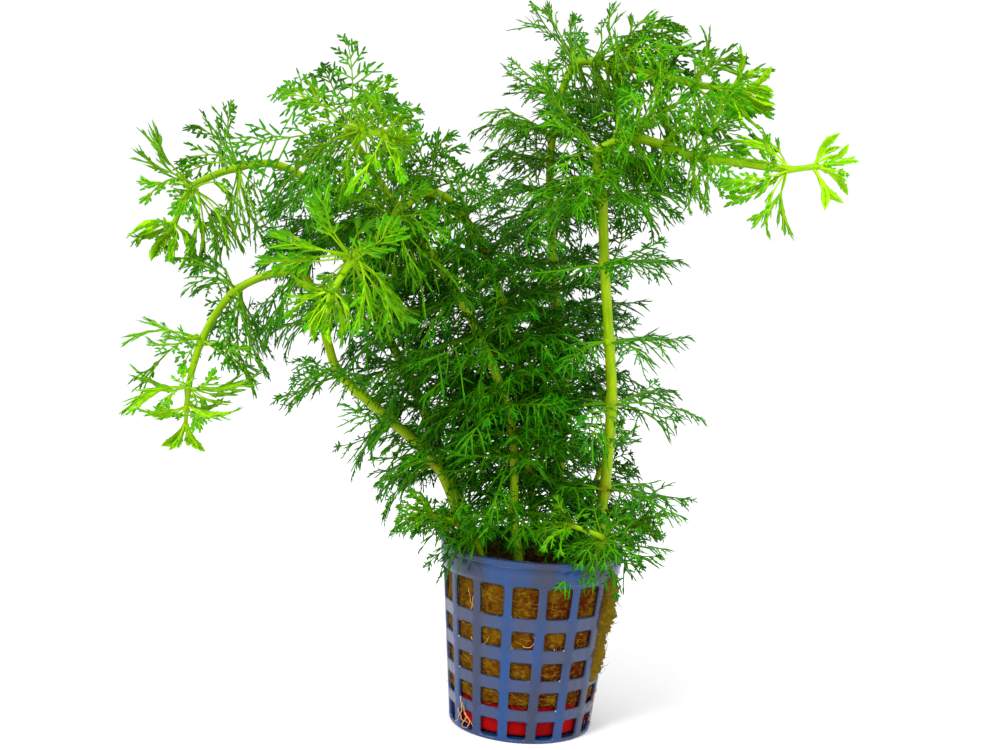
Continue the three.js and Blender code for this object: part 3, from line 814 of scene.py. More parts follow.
class Skeleton:
    """The ribs and lobe points of a piece's leaves, gathered before they are grown into a mesh."""

    def __init__(self):
        self.points, self.edges = [], []
        self.values = {label: [] for label in POINT_VALUES}
        self.count = 0

    def _add(self, places, **values):
        """Adds points with their values. A value that isn't given is zero."""
        many = len(places)
        self.points.append(places)
        for label, kind in POINT_VALUES.items():
            shape = (many, 3) if kind == "FLOAT_VECTOR" else many
            self.values[label].append(np.broadcast_to(values.get(label, False), shape))
        self.count += many

    def add_ribs(self, lines, thick, tone, look):
        """Ribs along lines, an array of lines, each of as many points."""
        many, each = lines.shape[:2]
        starts = self.count + each * np.arange(many)[:, None] + np.arange(each - 1)[None]
        self.edges.append(np.stack([starts, starts + 1], -1).reshape(-1, 2))
        thick, tone = (np.broadcast_to(v, (many, each)).ravel() for v in (thick, tone))
        self._add(lines.reshape(-1, 3), thick=thick, tone=tone, **look)

    def add_blade(self, line, above, half_widths, tone, look):
        """An unparted blade along a line."""
        starts = self.count + np.arange(len(line) - 1)
        self.edges.append(np.stack([starts, starts + 1], -1))
        self._add(line, thick=half_widths, above=above, tone=tone, is_blade=True, **look)

    def add_lobes(self, places, ahead, above, size, tone, look):
        """Lobes at places. One whose point would leave the box of the solids is shorter."""
        for _ in range(3):
            tips = places + ahead * size[:, :1]
            leaves_box = np.any(tips != np.clip(tips, *CAD_BOX), axis=1)
            size = size * np.where(leaves_box, 0.6, 1.0)[:, None]
        self._add(places, ahead=ahead, above=above, size=size, tone=tone, is_lobe=True, **look)

    def mesh(self, name):
        points = inside_box(np.concatenate(self.points))
        made = new_mesh(name, points, edges=np.concatenate(self.edges))
        for label, kind in POINT_VALUES.items():
            set_values(made, kind, **{label: np.concatenate(self.values[label])})
        return made


def leaf_frame(leaf, s, wave):
    """Places and the three ways (ahead, across, above) at shares s along a leaf's rib."""
    s = np.asarray(s)[..., None]
    length = leaf_length(leaf)
    side = unit(np.cross(leaf["above"], leaf["out"]))
    lift = unit(np.cross(leaf["out"], side))
    sway = wave["sway"] * length * side
    curl = wave["curl"] * length * lift
    outer = np.maximum(s, 0)
    places = leaf["root"] + leaf["out"] * s + leaf["bend"] * s * s + sway * s * s + curl * outer ** 3
    ahead = unit(leaf["out"] + 2 * (leaf["bend"] + sway) * s + 3 * curl * outer ** 2)
    across = unit(side - ahead * np.sum(side * ahead, -1, keepdims=True))
    above = np.cross(ahead, across)
    twist = wave["twist"] * s
    turned = across * np.cos(twist) + above * np.sin(twist)
    return places, ahead, turned, np.cross(ahead, turned)


def inside_box(places):
    """Places, moved to the box's sides where they lie past them."""
    return np.clip(places, LOW, HIGH)


def fitted(leaf):
    """A leaf that ends inside the box of the solids and doesn't hang far below the pot's rim."""
    shortfall = LOWEST_TIP * MM - (leaf["root"] + leaf["out"] + leaf["bend"])[2]
    if shortfall > 0:
        leaf = {**leaf, "bend": leaf["bend"] + UP * shortfall}
    while True:
        end = leaf["root"] + leaf["out"] + leaf["bend"]
        if np.allclose(end, inside_box(end)) or leaf_length(leaf) < 4 * MM:
            return leaf
        leaf = resized(leaf, 0.93)


def dress_leaf(skeleton, leaf, age, rng, stem_painted_light, depth):
    """Adds one leaf's petiole, rib, pinnae and lobes to a skeleton. Its rib starts that deep."""
    leaf = fitted(leaf)
    length = leaf_length(leaf)
    stray = grown("stray", age)
    wave = {
        "sway": rng.normal(0, 0.05 * stray),
        "curl": rng.normal(grown("curl", age), 0.045 * stray),
        "twist": rng.normal(0, 0.3 * stray),
    }
    # Its shade is a random tone plus its stem's painted light or shade.
    look = {"shade": rng.uniform(0, 1) + stem_painted_light, "age": age}
    petiole = grown("petiole", age) * rng.uniform(0.8, 1.15)
    is_bud = age < BUD_AGE
    size = min(1.0, length / (FULL_SIZE * MM))

    last = (BUD_END if is_bud else BLADE_END) + 0.03
    along = np.concatenate([[-depth * MM / length], np.linspace(0.02, last, 8)])
    line = leaf_frame(leaf, along, wave)[0]
    taper = np.interp(along, [-0.1, 0.02, 0.2, 1], [1.5, 1.25, 0.95, 0.45])
    rib = grown("rib", age) * MM * (0.55 + 0.45 * size)
    skeleton.add_ribs(line[None], rib * taper, np.interp(along, [0, 0.5, 1], [0.0, 0.12, 0.45]), look)

    half_width = grown("blade", age) * length
    if half_width > 0.4 * MM:
        add_unparted_blade(skeleton, leaf, wave, look, rng, petiole, half_width)
    if is_bud:
        add_bud_lobes(skeleton, leaf, wave, look, rng)
    else:
        add_pinnae(skeleton, leaf, wave, look, rng, petiole, size)
        add_end_lobes(skeleton, leaf, wave, look, size)


def add_unparted_blade(skeleton, leaf, wave, look, rng, petiole, half_width):
    """A young leaf's blade, not parted in pinnae but toothed. A bud's is widest further out."""
    count = 15
    share = np.linspace(petiole * 0.8, 0.97, count)
    middle, _, _, up = leaf_frame(leaf, share, wave)
    along_it = (share - share[0]) / (share[-1] - share[0])
    fullest = 0.72 if look["age"] < BUD_AGE else 0.55
    form = np.interp(along_it, [0, 0.15, fullest, 0.92, 1], [0.12, 0.4, 1, 0.4, 0.03])
    teeth = 1 - 0.16 * (np.arange(count) % 2) * (along_it > 0.4) * rng.uniform(0.5, 1.3, count)
    skeleton.add_blade(middle, up, half_width * form * teeth, 0.75, look)


def add_bud_lobes(skeleton, leaf, wave, look, rng):
    """The few lobes towards the end of a bud's leaf."""
    places, ahead, across, above = leaf_frame(leaf, BUD_LOBES["at"], wave)
    count = len(places)
    ways = unit(ahead + np.array(BUD_LOBES["turn"])[:, None] * across)
    longs = leaf_length(leaf) * np.array(BUD_LOBES["long"]) * rng.uniform(0.8, 1.2, count)
    size = np.stack([longs, longs * 0.42, np.full(count, 0.4 * MM)], -1)
    skeleton.add_lobes(places, ways, above, size, 0.9, look)


def add_pinnae(skeleton, leaf, wave, look, rng, petiole, size):
    """Pairs of pinnae along a leaf's rib, each with lobes to both sides and one at its end."""
    age = look["age"]
    length = leaf_length(leaf)
    stray = grown("stray", age)
    pairs = int(np.clip(round((1 - petiole) * length / MM / PINNA_SPACING), 3, 6))
    u = np.repeat(np.arange(pairs) / (pairs - 1), 2)
    side = np.tile([-1.0, 1.0], pairs)
    n = len(u)
    at = petiole + (BLADE_END - petiole) * (u ** 0.92) + rng.normal(0, 0.009 * stray, n)
    places, ahead, across, above = leaf_frame(leaf, at, wave)
    rise = np.interp(u, [0, grown("widest", age), 1], [0.62, 1, 1 - grown("narrow", age)])
    reach = grown("reach", age) * length * rise * rng.uniform(0.82, 1.12, n)
    spread = np.interp(u, [0, 1], [grown("spread", age), grown("gather", age)])
    angle = np.radians(spread + rng.normal(0, 5 * stray, n))
    lift = np.radians(rng.normal(grown("fold", age), 11 * stray, n))
    outward = (side * np.cos(lift))[:, None] * across + np.sin(lift)[:, None] * above
    way = np.cos(angle)[:, None] * ahead + np.sin(angle)[:, None] * outward
    forward = np.sin(angle)[:, None] * ahead - np.cos(angle)[:, None] * outward
    over = unit(above - way * np.sum(above * way, -1, keepdims=True))
    hook = rng.uniform(0.02, 0.22, n)[:, None]
    hang = grown("hang", age) * rng.uniform(0.4, 1.5, n)[:, None]
    bow = forward * hook + over * rng.normal(-0.06, 0.1, n)[:, None] - UP * hang

    def along(q):
        return places + reach[:, None] * (way * q + bow * q * q)

    lines = np.stack([along(q) for q in (-0.02, 0.5, 0.92)], 1)
    thick = grown("axis", age) * MM * (0.6 + 0.4 * size) * np.array([1.0, 0.95, 0.7])
    skeleton.add_ribs(lines, thick, np.array([0.45, 0.75, 1.0]), look)

    width = lobe_width(age, size)
    parting = math.radians(grown("lobe_spread", age))
    first_side = side * np.where(np.arange(n) % 4 < 2, 1.0, -1.0)
    for q, turn, share in PINNA_LOBES:
        onward = unit(way + 2 * q * bow)
        sideways = unit(np.cross(over, onward)) * (turn * first_side)[:, None]
        lean = parting * rng.uniform(0.7, 1.3, n)[:, None] * abs(turn)
        rolled = over + sideways * rng.normal(0, 0.25, n)[:, None]
        lobe_way = np.cos(lean) * onward + np.sin(lean) * sideways
        lobe_way = unit(lobe_way + over * rng.normal(0, 0.1, n)[:, None])
        least = grown("lobe_least", age) * MM * size * share
        long = np.maximum(reach * grown("lobe_reach", age) * share, least) * rng.uniform(0.82, 1.15, n)
        wide = np.minimum(width * rng.uniform(0.85, 1.15, n), long * grown("lobe_ratio", age))
        dims = np.stack([long, wide, np.full(n, LOBE_THICK * MM)], -1)
        skeleton.add_lobes(along(q), lobe_way, rolled, dims, 1.0, look)


def add_end_lobes(skeleton, leaf, wave, look, size):
    """The blade's end: a middle lobe and a pair beside it."""
    places, ahead, across, above = leaf_frame(leaf, [BLADE_END] * len(END_LOBES), wave)
    turns, longs, wides, thicks = np.array(END_LOBES).T
    long = leaf_length(leaf) * (0.98 - BLADE_END)
    dims = np.stack([long * longs, lobe_width(look["age"], size) * wides, thicks * MM], -1)
    skeleton.add_lobes(places, unit(ahead + turns[:, None] * across), above, dims, 1.0, look)


def lobe_width(age, size):
    """How wide a lobe is at most, for its leaf's age and size."""
    return grown("lobe_width", age) * MM * (0.6 + 0.4 * size)


def turned_about(v, axis, angle):
    """A vector turned about a unit axis."""
    turned = v * math.cos(angle) + np.cross(axis, v) * math.sin(angle)
    return turned + axis * np.dot(axis, v) * (1 - math.cos(angle))


def moved_whorl(leaves, centre, axis, new_centre, new_axis, spin, share):
    """A whorl's leaves at another place of a stem, turned with its way and spun about it."""
    old, new = Vector(axis), Vector(new_axis)
    turn = np.array(Matrix.Rotation(spin, 3, new) @ old.rotation_difference(new).to_matrix())
    return [
        {
            "root": new_centre + turn @ (leaf["root"] - centre), "out": turn @ leaf["out"] * share,
            "bend": leaf["bend"] * share, "above": turn @ leaf["above"],
        }
        for leaf in leaves
    ]


def leaning(leaf, axis, lean):
    """A leaf leaning along its stem. One that hangs is shorter."""
    length = leaf_length(leaf)
    share = 1 - 0.5 * max(0.0, -leaf["out"][2] / length)
    return resized({**leaf, "out": unit(leaf["out"] + axis * length * lean) * length}, share)


def one_sided(leaves, node):
    """A node's leaves, longer towards the way that the table gives and shorter on the other side."""
    if node not in LONGER_TOWARDS:
        return leaves
    way, share = LONGER_TOWARDS[node]
    way = unit(np.array(way))
    return [resized(leaf, 1 + share * float(np.dot(unit(leaf["out"]), way))) for leaf in leaves]


def leaves_between(leaves, centre, axis, rng, fullness, spill, most=FULL_TURN, droop=DROOP):
    """Leaves in the gaps between a whorl's leaves, so that it is as full as the real one.

    fullness is the share of the gaps' places that are filled, and most is how many places a whole
    turn has. spill is how far the added leaves stray from the whorl's plane.
    """
    if len(leaves) < 2:
        return []
    across = unit(np.cross(axis, [0.3, 0.2, 0.93]))
    along = np.cross(axis, across)
    facing = [
        math.atan2(np.dot(leaf["out"], along), np.dot(leaf["out"], across)) for leaf in leaves
    ]
    order = np.argsort(facing)
    added = []
    for here, there in zip(order, np.roll(order, -1)):
        gap = (facing[there] - facing[here]) % (2 * math.pi)
        many = max(1, round(gap / (2 * math.pi / most))) - 1
        for k in range(many):
            if rng.uniform() > fullness:
                continue
            share = (k + 1) / (many + 1) + rng.normal(0, 0.06)
            first, second = leaves[here], leaves[there]
            out = turned_about(first["out"], axis, gap * share)
            back = turned_about(second["out"], axis, -gap * (1 - share))
            blend = out * (1 - share) + back * share
            tilt = rng.normal(0.15, spill)
            long = np.linalg.norm(blend)
            blend = unit(blend + axis * long * tilt) * long
            trim = rng.uniform(0.75, 1.05)
            flat = unit(blend - axis * np.dot(blend, axis))
            hang = UP * np.linalg.norm(blend) * rng.uniform(-0.05, droop)
            added.append({
                "root": centre + flat * np.linalg.norm(first["root"] - centre),
                "out": blend * trim,
                "bend": first["bend"] * trim - hang,
                "above": turned_about(first["above"], axis, gap * share),
            })
    return added


def lobe_object():
    """A narrow lobe with a slanting point, one unit long and one wide, keeled near its foot."""
    corners = [
        (-0.06, 0, 0.6), (0.2, -0.5, -0.5), (0.82, -0.36, -0.7), (1, 0.12, -0.6), (0.24, 0.5, -0.5),
    ]
    faces = [(0, 1, 2), (0, 2, 3), (0, 3, 4), (0, 4, 1), (1, 4, 2), (2, 4, 3)]
    made = new_mesh("lobe", corners, faces=faces)
    set_values(made, reach=[0.1, 0.4, 0.8, 1.0, 0.4])
    facing_out(made)
    return bpy.data.objects.new("lobe", made)


def blade_section():
    """A folded blade's section, reaching one unit to each side, with its edges turned down."""
    top = [(-1, 0.18), (-0.65, 0.3), (-0.3, 0.16), (0, 0.0), (0.3, 0.16), (0.65, 0.3), (1, 0.18)]
    under = [(0.62, 0.2), (0.28, 0.06), (0, -0.1), (-0.28, 0.06), (-0.62, 0.2)]
    corners = [(x, y, 0) for x, y in top + under]
    edges = [(i, (i + 1) % len(corners)) for i in range(len(corners))]
    return bpy.data.objects.new("blade_section", new_mesh("blade_section", corners, edges))


# Stems


def lowness(height):
    """1 low down on the plant, where the nodes are brown, falling to 0 further up."""
    return np.clip((GREEN_FROM * MM - height) / ((GREEN_FROM - BROWN_TO) * MM), 0, 1)


def stem_mesh(name, path, radii, nodes, ages, sides=14):
    """A stem along a path, a little thicker at its nodes."""
    arc = arc_lengths(path)
    swell = np.zeros(len(path))
    for node in nodes:
        near = (arc - arc[node]) / MM
        swell = np.maximum(swell, np.exp(-((near / NODE_LENGTH) ** 2)))
    waist = 1 + WAVE_HEIGHT * np.sin(arc / (WAVE_LENGTH * MM)) + NODE_SWELLING * swell
    made = new_mesh(name, path, edges=[(i, i + 1) for i in range(len(path) - 1)])
    low = lowness(path[:, 2])
    set_values(made, thick=radii * waist, node=swell, age=ages, low=low, along=arc / MM)
    return grow_mesh(name, made, TREES["stem"], {"Sides": sides, "Finish": MATERIALS["stem"]})


# The sheath's profile: heights over its node and how far it stands off the stem.
SHEATH = [(-1.1, 0.0), (-0.7, 0.28), (0.0, 0.5), (0.7, 0.34), (1.2, 0.0), (0.0, -0.4)]
SHEATH_SIDES = 18


def sheath_mesh(name, centre, axis, radius, age):
    """The low ring of leaf bases that hugs the stem at a whorl."""
    across = unit(np.cross(axis, [0.31, 0.17, 0.93]))
    along = np.cross(axis, across)
    points, faces, rim = [], [], []
    for i in range(SHEATH_SIDES):
        turn = 2 * math.pi * i / SHEATH_SIDES
        out = across * math.cos(turn) + along * math.sin(turn)
        ripple = 1 + 0.12 * math.cos(6 * turn)
        for rise, stand in SHEATH:
            points.append(centre + axis * rise * MM + out * (radius + stand * ripple * MM))
            rim.append((math.cos(turn), math.sin(turn), 0.0))
    count = len(SHEATH)
    for i in range(SHEATH_SIDES):
        k = (i + 1) % SHEATH_SIDES
        for j in range(count):
            m = (j + 1) % count
            faces.append((i * count + j, k * count + j, k * count + m, i * count + m))
    made = new_mesh(name, points, faces=faces)
    rises = np.tile([rise for rise, _ in SHEATH], SHEATH_SIDES)
    set_values(made, age=age, node=0.8, low=lowness(centre[2]), along=rises)
    set_values(made, "FLOAT_VECTOR", rim=rim)
    set_finish(made, MATERIALS["stem"])
    return made


# Pieces


def joined(name, meshes):
    """One mesh of several, with their materials and attributes."""
    objects = [placed(f"{name}_{i}", mesh) for i, mesh in enumerate(meshes)]
    with bpy.context.temp_override(active_object=objects[0], selected_editable_objects=objects):
        bpy.ops.object.join()
    mesh = objects[0].data
    bpy.data.objects.remove(objects[0])
    return mesh


def facing_out(mesh):
    """Normals outward on every closed shell of a mesh."""
    solid = bmesh.new()
    solid.from_mesh(mesh)
    bmesh.ops.recalc_face_normals(solid, faces=solid.faces)
    solid.to_mesh(mesh)
    solid.free()


def add_piece(name, mesh, slot, *nodes):
    """A finished piece that stands for CAD nodes, without the values that no material reads."""
    spent = ["ahead", "above", "size", "thick", "is_lobe", "is_blade"]
    if "along" not in mesh.attributes:
        spent.append("rim")
    for label in spent:
        if label in mesh.attributes:
            mesh.attributes.remove(mesh.attributes[label])
    mesh.name = name
    piece = placed(name + "_look", mesh)
    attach(piece, "root")
    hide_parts(*nodes)
    return piece


def foliage_mesh(name, skeleton, finish, seed):
    return grow_mesh(name, skeleton.mesh(name), TREES["foliage"], {
        "Lobe": LOBE, "Blade section": BLADE_SECTION, "Rib sides": 3, "Unevenness": 0.25,
        "Seed": seed, "Finish": finish,
    })


def whorl_groups(leaves, path):
    """Leaves of a tip or shoot by their whorl, each group with its place along the path."""
    groups = {}
    arc = arc_lengths(path)
    for leaf in leaves:
        i = nearest_on(path, leaf["root"])
        key = next((k for k in groups if abs(arc[k] - arc[i]) < 2.6 * MM), i)
        groups.setdefault(key, []).append(leaf)
    return sorted(groups.items())


def read_stem(name):
    """A tall stem's path and its radii."""
    mesh = merged(name + "_stem")
    middles, radii = read_tube(mesh, set())
    mesh.free()
    radii[-1] = radii[-2]
    return smooth_path(middles, radii * SLIMNESS[name], 1.2 * MM)


def read_tip(name, path, radii):
    """A growing tip's leaves, path and radii. The path begins inside the stem's end."""
    mesh = merged(name + "_growing_tip")
    leaves, taken = read_leaves(mesh)
    tip_path, tip_radii = smooth_path(*read_tube(mesh, taken, near=path[-1]), 0.8 * MM)
    mesh.free()
    back = way_at(tip_path, len(tip_path) // 2) * SWEPT_BACK.get(name, 0.0)
    for leaf in leaves:
        if np.linalg.norm(leaf["root"] - tip_path[-1]) > SWEPT_FROM * MM:
            length = leaf_length(leaf)
            leaf["out"] = unit(leaf["out"] - back * length) * length
    tip_radii = np.concatenate([radii[-2:] * 0.985, tip_radii * SLIMNESS[name]])
    return leaves, np.vstack([path[-2:], tip_path]), tip_radii


def read_whorls(name, path):
    """Each whorl's leaves, its middle, and which point of the stem's path it is at."""
    whorls = []
    for k in range(sum(node.startswith(name + "_whorl_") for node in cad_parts)):
        mesh = merged(f"{name}_whorl_{k + 1}")
        leaves, taken = read_leaves(mesh)
        centre = place_of([v for v in mesh.verts if v not in taken])
        mesh.free()
        whorls.append((leaves, centre, nearest_on(path, centre)))
    return whorls


def places_between(name, whorls, path):
    """Where on its path a stem has leaves between its nodes, by the whorl that they are like."""
    nodes = [0] + [i for _, _, i in whorls]
    places = {}
    for share in MORE_WHORLS[name]:
        below = int(share)
        j = round(np.interp(share, [below, below + 1], nodes[below:below + 2]))
        k = int(np.argmin(np.linalg.norm([centre - path[j] for _, centre, _ in whorls], axis=1)))
        places.setdefault(k, []).append(j)
    return places


def dress_whorl(name, number, k, whorl, places, path, radii, ages):
    """A whorl, the leaves like it at other places of the stem and their sheaths, in one piece."""
    leaves, centre, i = whorl
    node = f"{name}_whorl_{k + 1}"
    rng = np.random.default_rng(1000 * number + k)
    spill = SPILL + TIP_SPILL * (1 - ages[i])
    fullness = FULLNESS.get(name, (1.0, 1.0))[k >= LOWER_WHORLS]
    way = way_at(path, i)
    if name in LEANING and k + 1 >= LEANING[name]:
        leaves = [leaning(leaf, way, LEAN) for leaf in leaves]
    full = leaves + leaves_between(leaves, centre, way, rng, fullness, spill)
    sheaths = [sheath_mesh(node, centre, way, radii[i], ages[i])]
    for j in places:
        spin = rng.uniform(0, 2 * math.pi)
        here, onward = path[j], way_at(path, j)
        share = rng.uniform(*BETWEEN_LENGTHS)
        more = moved_whorl(leaves, centre, way, here, onward, spin, share)
        full += more + leaves_between(more, here, onward, rng, BETWEEN_FULLNESS * fullness, spill)
        sheaths.append(sheath_mesh(node, here, onward, radii[j], ages[j]))
    skeleton = Skeleton()
    for leaf in one_sided(full, node):
        # Each leaf carries its stem's painted light or shade.
        dress_leaf(skeleton, leaf, ages[i], rng, PAINTED_STEM_LIGHT.get(name, 0.0), RIB_DEPTH)
    foliage = foliage_mesh(node, skeleton, MATERIALS["leaf"], 100 * number + k)
    add_piece(node, joined(node, [foliage, *sheaths]), "leaf", node)


def dress_tall_stem(name, number):
    """A tall stem, its whorls and its growing tip."""
    stem, tip = name + "_stem", name + "_growing_tip"
    path, radii = read_stem(name)
    tip_leaves, tip_path, tip_radii = read_tip(name, path, radii)
    arc = arc_lengths(np.vstack([path, tip_path]))
    ages = np.clip((arc[-1] - arc) / (GROWN_AT.get(name, USUALLY_GROWN_AT) * MM), 0, 1)
    whorls = read_whorls(name, path)
    places = places_between(name, whorls, path)
    for k, whorl in enumerate(whorls):
        dress_whorl(name, number, k, whorl, places.get(k, []), path, radii, ages)
    nodes = [i for _, _, i in whorls] + [j for more in places.values() for j in more]
    add_piece(stem, stem_mesh(stem, path, radii, nodes, ages[:len(path)]), "stem", stem)
    dress_young(tip, tip_path, tip_radii, tip_leaves, ages[len(path):], "young_leaf", number)


def dress_young(node, path, radii, leaves, ages, slot, number):
    """A growing tip or side shoot: its stem and its leaves in one piece."""
    rng = np.random.default_rng(7000 + number)
    skeleton = Skeleton()
    groups = whorl_groups(leaves, path)
    # The stem's painted light or shade, shared by the leaves of its tip.
    stem_painted_light = PAINTED_STEM_LIGHT.get(node.replace("_growing_tip", ""), 0.0)
    for i, group in groups:
        fullness, most, droop = YOUNG_GROUP if ages[i] < OLDER_FROM else OLDER_GROUP
        spill = CLOSED_SPILL if ages[i] < CLOSED_AGE else OPEN_SPILL
        more = leaves_between(group, path[i], way_at(path, i), rng, fullness, spill, most, droop)
        for leaf in one_sided(group + more, node):
            dress_leaf(skeleton, leaf, ages[i], rng, stem_painted_light, YOUNG_RIB_DEPTH)
    foliage = foliage_mesh(node, skeleton, MATERIALS[slot], 500 + number)
    tube = stem_mesh(node, path, radii, [i for i, _ in groups], ages, 10)
    add_piece(node, joined(node, [foliage, tube]), slot, node)


def dress_shoot(node, number):
    """A short side shoot over the pot's rim."""
    mesh = merged(node)
    leaves, taken = read_leaves(mesh)
    path, radii = smooth_path(*read_tube(mesh, taken), 0.9 * MM)
    mesh.free()
    from_end = arc_lengths(path)[-1] - arc_lengths(path)
    ages = np.clip(SHOOT_AGE + SHOOT_AGEING * from_end / (SHOOT_LENGTH * MM), 0, 1)
    share, droop, lift = SHOOT_LEAVES.get(node, (1.0, 1.0, 0.0))
    for leaf in leaves:
        length = leaf_length(leaf)
        leaf["out"] = unit(leaf["out"] + UP * length * lift) * length * share
        leaf["bend"] = leaf["bend"] * share * droop
    dress_young(node, path, radii, leaves, ages, "leaf", 100 + number)


# The net pot


def pot_radius(z):
    """The outer radius of the wall at a height."""
    return POT["base"] + (POT["rim"] - POT["base"]) * z / POT["height"]


def round_place(turn, radius, z):
    """A place round the pot's axis, its lengths given in millimetres."""
    return (radius * math.sin(turn) * MM, -radius * math.cos(turn) * MM, z * MM)


# How finely a window's rounded corners and its sill and lintel are cut.
CORNER_STEPS, EDGE_POINTS = 4, 3


def rounded_outline(window, corner, grow=(0.0, 0.0)):
    """A rounded window's outline, anticlockwise from its lower right corner, as (u, v) points.

    window is its half width, sill and lintel. grow is how far its sides are moved outwards.
    """
    half, low, high = window
    cu, cv = corner[0] + grow[0], corner[1] + grow[1]
    right, left = half + grow[0] - cu, cu - half - grow[0]
    bottom, top = low - grow[1], high + grow[1]
    centres = [(right, bottom + cv), (right, top - cv), (left, top - cv), (left, bottom + cv)]
    points = []
    for quarter, (u, v) in enumerate(centres):
        for step in range(CORNER_STEPS + 1):
            angle = math.pi / 2 * (quarter - 1 + step / CORNER_STEPS)
            points.append((u + cu * math.cos(angle), v + cv * math.sin(angle)))
        if quarter in (1, 3):
            for k in range(1, EDGE_POINTS + 1):
                share = k / (EDGE_POINTS + 1)
                points.append((u - 2 * u * share, top if quarter == 1 else bottom))
    return points


# All windows' outlines meet their cells' edges at this one's turns, so that the cells fit together.
COMMON_WINDOW = rounded_outline((math.radians(7.2), 0.0, 1.0), (0.035, 0.2))


def cell_border(outline, cell):
    """The points of the cell's own edge that go with each point of its window's outline."""
    half, low, high = cell
    points = []
    index = 0
    for quarter in range(4):
        for step in range(CORNER_STEPS + 1):
            u, v = outline[index]
            index += 1
            is_middle = step * 2 == CORNER_STEPS
            on_side = (step < CORNER_STEPS / 2) == (quarter in (1, 3))
            if is_middle or on_side:
                u = half if quarter in (0, 1) else -half
            if is_middle or not on_side:
                v = low if quarter in (0, 3) else high
            points.append((u, v))
        if quarter in (1, 3):
            for _ in range(EDGE_POINTS):
                points.append((outline[index][0], high if quarter == 1 else low))
                index += 1
    return points


def border_turns():
    """The turns at which every cell's lower and upper border have points."""
    border = cell_border(COMMON_WINDOW, (PITCH / 2, 0, 1))
    return sorted({round(u, 7) for u, v in border if v == 1})


def add_windowed_cell(points, faces, window, cell, corner, edge, shape, depths):
    """One cell of a wall with a rounded window: both faces, the window's sides and their soft edges.

    shape turns (u, v, depth) into a place, and depths are the outer face, the two ends of the
    window's side and the inner face.
    """
    hole = rounded_outline(window, corner)
    wide = rounded_outline(window, corner, edge)
    even = [(u, v) for (u, _), (_, v) in zip(COMMON_WINDOW, wide)]
    border = cell_border(even, cell)
    loops = [(border, 0), (wide, 0), (hole, 1), (hole, 2), (wide, 3), (border, 3)]
    faces.extend(faces_between(len(points), len(loops), len(hole)))
    for loop, depth in loops:
        points.extend(shape(u, v, depths[depth]) for u, v in loop)


def pot_column():
    """One of the pot's columns: five windows, the band and rim over them and the foot under them."""
    points, faces = [], []
    sills, lintels, wall = POT["sills"], POT["lintels"], POT["wall"]
    foot, band = 0.5, lintels[-1] + 0.45
    borders = [foot] + [(a + b) / 2 for a, b in zip(lintels, sills[1:])] + [band]

    def shape(u, z, depth):
        turn_left = math.radians(POT["recess_to"]) - abs(u)
        across = np.clip(turn_left / math.radians(POT["recess_slope"]), 0, 1)
        upward = np.clip(min(z - foot, band - z) / POT["recess_rise"], 0, 1)
        recess = POT["recess"] * across * upward if depth < wall / 2 else 0.0
        radius = pot_radius(z) - depth - recess
        return round_place(u, radius, z)

    corner, edge = POT["corner"], POT["edge"]
    for row, (sill, lintel) in enumerate(zip(sills, lintels)):
        middle = pot_radius((sill + lintel) / 2)
        window, cell = (HALF_WINDOWS[row], sill, lintel), (PITCH / 2, *borders[row:row + 2])
        add_windowed_cell(
            points, faces, window, cell, (corner / middle, corner), (edge / middle, edge), shape,
            (0, edge, wall - edge, wall),
        )
    turns = border_turns()
    step, top = POT["band_step"], POT["height"]
    rim = [
        (band, 0), (band + 0.3, -0.06), (band + 0.75, -step * 0.9), (band + 1.1, -step),
        (top - 2.1, -step), (top - 1.9, -step + 0.12), (top - 1.7, -step), (top - 0.4, -step),
        (top - 0.12, -step + 0.12), (top, -step + 0.4), (top, wall - 0.3),
        (top - 0.15, wall - 0.05), (top - 0.5, wall), (band, wall),
    ]
    under = [(foot, wall), (0.0, wall), (0.0, 0.4), (0.12, 0.12), (foot, 0)]
    for profile in (rim, under):
        add_strip(points, faces, turns, profile, shape)
    made = new_mesh("pot_column", points, faces=faces)
    # How far each point lies back on a crossbar, where the pot's material paints shade.
    back = np.array([pot_radius(z / MM) - math.hypot(x, y) / MM for x, y, z in points])
    set_values(made, bar=np.clip(back / POT["recess"], 0, 1) * (back < wall / 2))
    return made


def add_strip(points, faces, turns, profile, shape):
    """A strip of wall round one column, swept along a profile of (height, depth)."""
    faces.extend(faces_between(len(points), len(profile), len(turns), closed=False))
    for z, depth in profile:
        points.extend(shape(u, z, depth) for u in turns)


def floor_column():
    """One column's share of the pot's floor, with its slot."""
    points, faces = [], []
    low, high = POT["slots"]
    thick, edge = POT["floor"], 0.15
    inner, outer = 3.0, pot_radius(0) - 0.5

    def shape(u, r, depth):
        return round_place(u, r, thick - depth)

    middle = (low + high) / 2
    add_windowed_cell(
        points, faces, (HALF_WINDOWS[0], low, high), (PITCH / 2, inner, outer),
        (0.5 / middle, 0.5), (edge / middle, edge), shape, (0, edge, thick - edge, thick),
    )
    turns = border_turns()
    add_strip(points, faces, turns, [(outer, 0), (outer, thick)], shape)
    start = len(points)
    points.extend([shape(0, 0, 0), shape(0, 0, thick)])
    base = len(points)
    for depth in (0, thick):
        points.extend(shape(u, inner, depth) for u in turns)
    for i in range(len(turns) - 1):
        faces.append((start, base + i, base + i + 1))
        faces.append((start + 1, base + len(turns) + i + 1, base + len(turns) + i))
    return new_mesh("floor_column", points, faces=faces)


